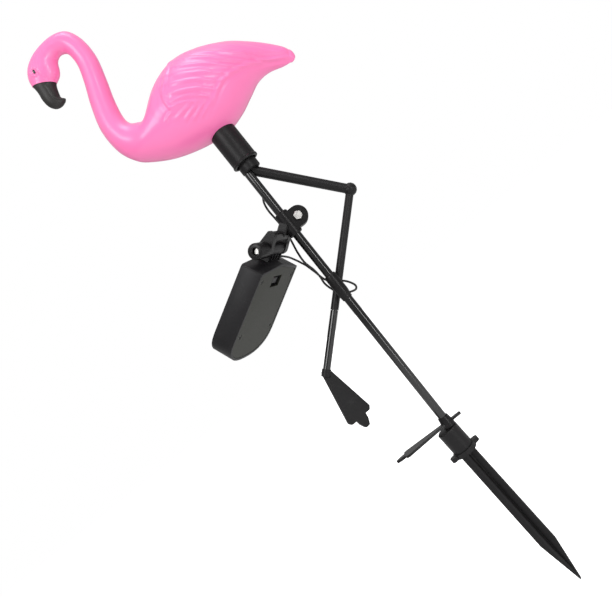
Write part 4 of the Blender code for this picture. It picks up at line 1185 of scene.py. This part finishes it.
    def build_shell(self) -> bpy.types.Object:
        """Builds the shell: rings with relief, a rolled rim at the beak and a rounded tail."""
        grid, normal = self.shell_grid()
        grid = grid + normal * self.relief(grid)[..., None]
        face, tip = grid[0], grid[-1]
        middle, tip_middle = face.mean(axis=0), tip.mean(axis=0)
        first = np.array(self.sections_mm[0]) * MM
        chord = first[:2] - first[2:4]
        ahead = np.array((-chord[1], 0.0, chord[0])) / np.linalg.norm(chord)
        rim = [middle + (face - middle) * share + ahead * out * MM for share, out in self.rim_steps]
        way = np.array(self.tail_tip) - tip_middle
        tail = [
            tip_middle + (tip - tip_middle) * math.cos(a) ** self.tail_point + way * math.sin(a)
            for a in np.linspace(0.12, 0.5 * math.pi - 0.1, self.tail_rings)
        ]
        whole = np.concatenate([np.array(rim), grid, np.array(tail)])
        shell = grid_object("bird_shell", whole, sharp_deg=SHELL_SHARP_DEG)
        return dress(shell, PINK, ROOT_BODY, "pink", "flamingo_body")

    def build_beak(self) -> bpy.types.Object:
        """Builds the hooked bill with the line of the mouth pressed in along each side."""
        face = np.array(self.sections_mm[0]) * MM
        centre, half = (face[:2] + face[2:4]) / 2, (face[:2] - face[2:4]) / 2 * self.beak_share
        gap = np.array((-half[1], half[0])) / np.linalg.norm(half) * self.beak_gap
        base = np.concatenate([centre + half + gap, centre - half + gap, [face[4] * self.beak_share]])
        rows = np.concatenate([base[None], np.array(self.beak_mm) * MM])
        sections = catmull(rows, np.linspace(0.0, len(rows) - 1, self.beak_rings))
        grid = oval_rings(sections, self.beak_columns)
        normal = grid_normals(grid)
        along = np.linspace(0.0, 1.0, len(sections))[:, None]
        mouth = np.cos(round_angles(self.beak_columns))[None] + 0.05 + 0.5 * along
        fade = smoothstep(0.06, 0.14, along) * (1.0 - smoothstep(0.8, 0.95, along))
        pushed = self.mouth_lip * ridge(mouth + self.lip_half, self.lip_half)
        pushed -= self.mouth_depth * ridge(mouth, self.mouth_half)
        grid = grid + normal * (pushed * fade)[..., None]
        beak = grid_object("beak_shell", grid, sharp_deg=SHELL_SHARP_DEG)
        return dress(beak, BEAK_BLACK, ROOT_BODY, "beak", "beak")

    def build_eyes(self) -> list[bpy.types.Object]:
        """Builds the black eyes: flattened spheres set in the rings."""
        grid, normal = self.shell_grid()
        polar = np.linspace(0.02, math.pi - 0.02, self.eye_rings)
        polar, turn = np.meshgrid(polar, round_angles(self.eye_columns), indexing="ij")
        ball = np.stack([np.sin(polar) * np.cos(turn), np.sin(polar) * np.sin(turn), np.cos(polar)], axis=-1)
        made = []
        for name, side in (("eye_left", -1.0), ("eye_right", 1.0)):
            distance = np.hypot(grid[..., 0] - self.eye_at[0], grid[..., 2] - self.eye_at[1])
            distance = np.where(grid[..., 1] * side > 0.0, distance, 1.0)
            nearest = np.unravel_index(np.argmin(distance), distance.shape)
            place, out = grid[nearest], normal[nearest]
            tall = np.array(self.eye_up) - out * (np.array(self.eye_up) @ out)
            tall /= np.linalg.norm(tall)
            axes = np.array([np.cross(tall, out), tall, out]) * np.array(self.eye_half)[:, None]
            eye = grid_object(name, place - out * self.eye_sunk + ball @ axes, sharp_deg=80.0)
            made.append(dress(eye, EYE_BLACK, ROOT_BODY, "beak"))
        return made

    def build(self) -> None:
        """Builds every piece of the bird."""
        self.build_shell()
        self.build_beak()
        self.build_eyes()


# Pole, socket and lead


@dataclass
class Poles:
    """Painted tubes: the pole's two lengths."""

    radius: float = 4.75 * MM
    rolled: float = 0.4 * MM
    foot_z: float = 7.0 * MM
    split_z: float = 218.0 * MM
    top_z: float = 393.0 * MM
    gap: float = 0.15 * MM
    columns: int = 64

    def build(self) -> None:
        """Builds the two pole tubes with rolled ends."""
        for name, low, high in (
            ("lower_pole", self.foot_z, self.split_z - self.gap),
            ("upper_pole", self.split_z + self.gap, self.top_z),
        ):
            edges = [(self.radius, low, self.rolled), (self.radius, high, self.rolled)]
            profile = rounded_profile([(0.0, low, 0.0), *edges, (0.0, high, 0.0)])
            tube = grid_object(name + "_tube", revolve((0, 0, 0), (0, 0, 1), profile, self.columns))
            dress(tube, TUBE_PAINT, ROOT_BODY, "black_tube", name)


@dataclass
class Socket:
    """Socket under the belly that takes the hip."""

    x: float = 5.4 * MM
    radius: float = 14.5 * MM
    bottom_z: float = 380.7 * MM
    top_z: float = 442.0 * MM
    lip: float = 0.6 * MM
    lip_height: float = 2.4 * MM
    recess_radius: float = 12.4 * MM
    recess_depth: float = 6.0 * MM
    bore: float = 10.3 * MM
    bore_top_z: float = 398.3 * MM
    fine: float = 0.3 * MM
    rolled: float = 0.4 * MM
    columns: int = 96

    def build(self) -> None:
        """Builds the socket as one turned profile, from its closed top round to its bore."""
        recess = self.bottom_z + self.recess_depth
        lip_top = self.bottom_z + self.lip_height
        profile = rounded_profile(
            [
                (0.0, self.top_z, 0.0),
                (self.radius, self.top_z, 1.0 * MM),
                (self.radius, lip_top + self.lip, self.fine),
                (self.radius + self.lip, lip_top, self.fine),
                (self.radius + self.lip, self.bottom_z + self.rolled, 0.5 * MM),
                (self.radius - self.fine, self.bottom_z, self.rolled),
                (self.recess_radius, self.bottom_z, self.rolled),
                (self.recess_radius, recess, self.fine),
                (self.bore, recess, self.fine),
                (self.bore, self.bore_top_z, self.fine),
                (0.0, self.bore_top_z, 0.0),
            ]
        )
        socket = grid_object("hip_socket", revolve((self.x, 0, 0), (0, 0, 1), profile, self.columns))
        dress(socket, MATTE_BLACK, ROOT_BODY, "matte_black", "pole_socket")


@dataclass
class PanelFrame:
    """Frame of the hinge: X along its axis, Y down the panel and Z out of the solar face."""

    origin: Point = (-28.6 * MM, -0.3 * MM, 292.8 * MM)
    turn_deg: Point = (-26.7, 6.1, 66.4)

    @property
    def matrix(self) -> Matrix:
        """Matrix from the hinge's frame to the parts'."""
        turn = Euler([math.radians(a) for a in self.turn_deg]).to_matrix().to_4x4()
        return Matrix.Translation(self.origin) @ turn


@dataclass
class Lead:
    """Thin lead from the panel, round the joint and up into the pole."""

    diameter: float = 2.3 * MM
    points: int = 240
    columns: int = 16
    route_mm: tuple[Point, ...] = (
        (-21.8, 36.5, 279.6),
        (-19.4, 42.8, 276.9),
        (-17.2, 46.3, 273.3),
        (-15.0, 47.0, 269.1),
        (-13.0, 45.6, 264.4),
        (-11.1, 43.0, 259.6),
        (-9.6, 39.0, 253.4),
        (-8.1, 33.5, 246.5),
        (-6.8, 26.5, 238.7),
        (-4.9, 21.0, 232.6),
        (-0.5, 19.2, 226.5),
        (7.5, 19.0, 221.5),
        (12.5, 16.5, 216.0),
        (15.8, 13.5, 208.8),
        (13.8, 11.5, 205.0),
        (8.5, 10.8, 205.8),
        (2.5, 13.0, 209.0),
        (-3.0, 18.8, 214.0),
        (-6.8, 18.6, 222.5),
        (-8.8, 14.0, 231.0),
        (-8.2, 10.5, 239.0),
        (-9.0, 9.0, 249.0),
        (-11.7, 9.2, 261.5),
        (-10.8, 12.5, 274.5),
        (-8.5, 19.5, 286.0),
        (-6.5, 24.5, 297.0),
        (-6.0, 21.5, 308.5),
        (-6.8, 14.0, 318.5),
        (-7.4, 9.2, 329.0),
        (-5.6, 7.8, 338.5),
    )
    gland_mouth: Point = (23.9 * MM, 11.3 * MM, -1.0 * MM)
    gland_stub: Point = (3.1 * MM, 0.0, 0.0)
    hole_at: Point = (0.0, 4.75 * MM, 347.6 * MM)
    hole_direction: Point = (0.25, -0.72, 0.65)
    before_hole: float = 2.4 * MM
    past_hole: float = 2.6 * MM

    def centreline(self) -> np.ndarray:
        """Evenly spaced points of the smooth curve through the route.

        Returns:
            Points in metres.
        """
        hinge = PanelFrame().matrix
        mouth = Vector(self.gland_mouth)
        hole, into = Vector(self.hole_at), Vector(self.hole_direction).normalized()
        route = [hinge @ mouth, hinge @ (mouth + Vector(self.gland_stub))]
        route += [Vector(p) * MM for p in self.route_mm]
        route += [hole - into * self.before_hole, hole + into * self.past_hole]
        fine = fine_curve(np.array([tuple(p) for p in route]), LEAD_STEPS)
        walked = np.concatenate([[0.0], np.cumsum(np.linalg.norm(np.diff(fine, axis=0), axis=1))])
        even = np.linspace(0.0, walked[-1], self.points)
        return np.stack([np.interp(even, walked, fine[:, k]) for k in range(3)], axis=1)

    def build(self) -> None:
        """Builds the lead as one mesh tube along its route; it is not tied to the panel and does not bend
        with it.
        """
        path = self.centreline()
        lead = grid_object("panel_lead_tube", sweep(path, self.diameter / 2, self.columns))
        lead.data.materials.append(SHEATH.material())
        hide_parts("panel_lead")
        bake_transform(lead)


# Pieces that keep their packed form


@dataclass
class PackedPiece:
    """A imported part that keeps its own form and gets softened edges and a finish."""

    node: str
    finish: Finish
    body: str
    slot: str
    bevel: float = 0.0

    def build(self) -> None:
        """Builds the softened copy that stands for the node."""
        piece = welded_copy(self.node, self.node + "_finished", self.bevel)
        dress(piece, self.finish, self.body, self.slot, self.node)


PACKED: tuple[PackedPiece, ...] = (
    PackedPiece("bent_leg", MATTE_BLACK, ROOT_BODY, "matte_black", 0.3 * MM),
    PackedPiece("shin_tube", TUBE_PAINT, ROOT_BODY, "black_tube"),
    PackedPiece("hanging_foot", MATTE_BLACK, ROOT_BODY, "matte_black", 0.5 * MM),
    PackedPiece("cross_joint", SATIN_BLACK, ROOT_BODY, "satin_black", 0.3 * MM),
    PackedPiece("standing_foot", SATIN_BLACK, ROOT_BODY, "satin_black", 0.4 * MM),
    PackedPiece("ground_stake", MATTE_BLACK, ROOT_BODY, "matte_black", 0.4 * MM),
    PackedPiece("pole_clamp", SATIN_BLACK, ROOT_BODY, "satin_black", 0.3 * MM),
    PackedPiece("clamp_bolt", STEEL, ROOT_BODY, "steel", 0.15 * MM),
    PackedPiece("clamp_nut", STEEL, ROOT_BODY, "steel", 0.2 * MM),
    PackedPiece("hinge_knob", SATIN_BLACK, ROOT_BODY, "satin_black", 0.3 * MM),
    PackedPiece("hinge_bolt", STEEL, ROOT_BODY, "steel", 0.2 * MM),
    PackedPiece("hinge_nut", STEEL, ROOT_BODY, "steel", 0.2 * MM),
    PackedPiece("panel_housing", HOUSING, PANEL_BODY, "matte_black", 0.4 * MM),
    PackedPiece("panel_back", COVER, PANEL_BODY, "cover", 0.3 * MM),
    PackedPiece("switch_button", HOUSING, PANEL_BODY, "matte_black", 0.2 * MM),
    *(PackedPiece(f"cover_screw_{k}", SCREW_BLACK, PANEL_BODY, "steel") for k in range(1, 5)),
)


@dataclass
class SolarFace:
    """Cell sheet under resin, copied from its packed form with a map across the panel."""

    bevel: float = 0.3 * MM

    def build(self) -> None:
        """Builds the sheet and writes its map: metres across and down the panel."""
        piece = welded_copy("solar_cell", "solar_cell_sheet", self.bevel)
        mesh = piece.data
        points = np.empty(len(mesh.vertices) * 3)
        mesh.vertices.foreach_get("co", points)
        inverse = np.array(PanelFrame().matrix.inverted())
        local = points.reshape(-1, 3) @ inverse[:3, :3].T + inverse[:3, 3]
        loops = np.empty(len(mesh.loops), np.int32)
        mesh.loops.foreach_get("vertex_index", loops)
        layer = mesh.uv_layers.new(name="panel_map")
        layer.data.foreach_set("uv", local[loops][:, :2].astype(np.float32).ravel())
        dress(piece, SolarFinish(), PANEL_BODY, "cell", "solar_cell")


# Stage


@dataclass
class SoftLight:
    """A rectangular lamp that looks at the middle of the bird and pole."""

    name: str
    place: Point
    size: tuple[float, float]
    power: float
    aim: Point = (0.0, 0.0, 0.3)

    def build(self) -> None:
        """Adds the lamp."""
        data = bpy.data.lights.new(self.name, "AREA")
        data.shape, data.energy = "RECTANGLE", self.power
        data.size, data.size_y = self.size
        lamp = link_new(self.name, data)
        lamp.location = self.place
        lamp.rotation_euler = (Vector(self.aim) - Vector(self.place)).to_track_quat("-Z", "Y").to_euler()


@dataclass
class Studio:
    """Camera, floor and soft light."""

    position: Point = (-39.5 * MM, -642.6 * MM, 224.0 * MM)
    right: Point = (0.7815, 0.0, -0.6239)
    up: Point = (0.6239, 0.0, 0.7815)
    lens: float = 36.0
    sensor: float = 36.0
    floor_z: float = -0.1815
    floor_half: float = 6.0
    floor_points: int = 9
    world_low: float = 0.16
    world_high: float = 0.72
    lamps: tuple[SoftLight, ...] = (
        SoftLight("key", (-1.0, -1.5, 1.3), (0.9, 0.9), 15.0),
        SoftLight("top", (0.5, -0.4, 1.9), (0.8, 0.8), 8.0),
        SoftLight("strip", (0.75, -1.5, 0.45), (0.16, 1.5), 9.0),
    )

    def camera(self) -> None:
        """Sets the camera level with the ground and rolled as in the photo."""
        data = bpy.data.cameras.new("camera")
        data.lens, data.sensor_width = self.lens, self.sensor
        data.clip_start, data.clip_end = 0.01, 50.0
        camera = link_new("camera", data)
        matrix = np.eye(4)
        columns = (self.right, self.up, np.cross(self.right, self.up), self.position)
        matrix[:3] = np.stack(columns, axis=1)
        camera.matrix_world = Matrix(matrix.tolist())
        bpy.context.scene.camera = camera

    def floor(self) -> None:
        """Adds a wide pale floor under the stake's point."""
        line = np.linspace(-self.floor_half, self.floor_half, self.floor_points)
        x, y = np.meshgrid(line, line, indexing="ij")
        grid = np.stack([x, y, np.full_like(x, self.floor_z)], axis=-1)
        floor = grid_object("floor", grid[::-1], closed=False)
        floor.data.materials.append(FloorFinish().material())

    def surround(self) -> None:
        """Adds the surround: white to the camera, and brighter upwards as a light."""
        world = bpy.data.worlds.new("white_surround")
        world.use_nodes = True
        graph = Graph(world.node_tree)
        seen = graph.add("ShaderNodeLightPath").outputs["Is Camera Ray"]
        up = graph.height_of(graph.add("ShaderNodeTexCoord").outputs["Generated"])
        soft = graph.ramp(up, -0.4, 0.9, self.world_low, self.world_high)
        strength = graph.math("MAXIMUM", soft, seen)
        inputs = {"Color": (1.0, 1.0, 1.0, 1.0), "Strength": strength}
        graph.feed_all(world.node_tree.nodes["Background"], inputs)
        bpy.context.scene.world = world

    def build(self) -> None:
        """Builds the whole stage."""
        scene = bpy.context.scene
        scene.view_settings.view_transform = "Standard"
        scene.view_settings.look = "None"
        self.camera()
        self.floor()
        self.surround()
        for lamp in self.lamps:
            lamp.build()


def corners(box: tuple[Vector, Vector]) -> list[list[float]]:
    """Two corners as plain lists."""
    return [list(map(float, corner)) for corner in box]


def main() -> None:
    """Builds the pieces in order."""
    logging.basicConfig(level=logging.INFO, format="%(name)s %(message)s")
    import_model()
    Studio().build()
    Lead().build()
    Bird().build()
    Poles().build()
    Socket().build()
    for piece in PACKED:
        piece.build()
    SolarFace().build()


if __name__ == "__main__":
    main()
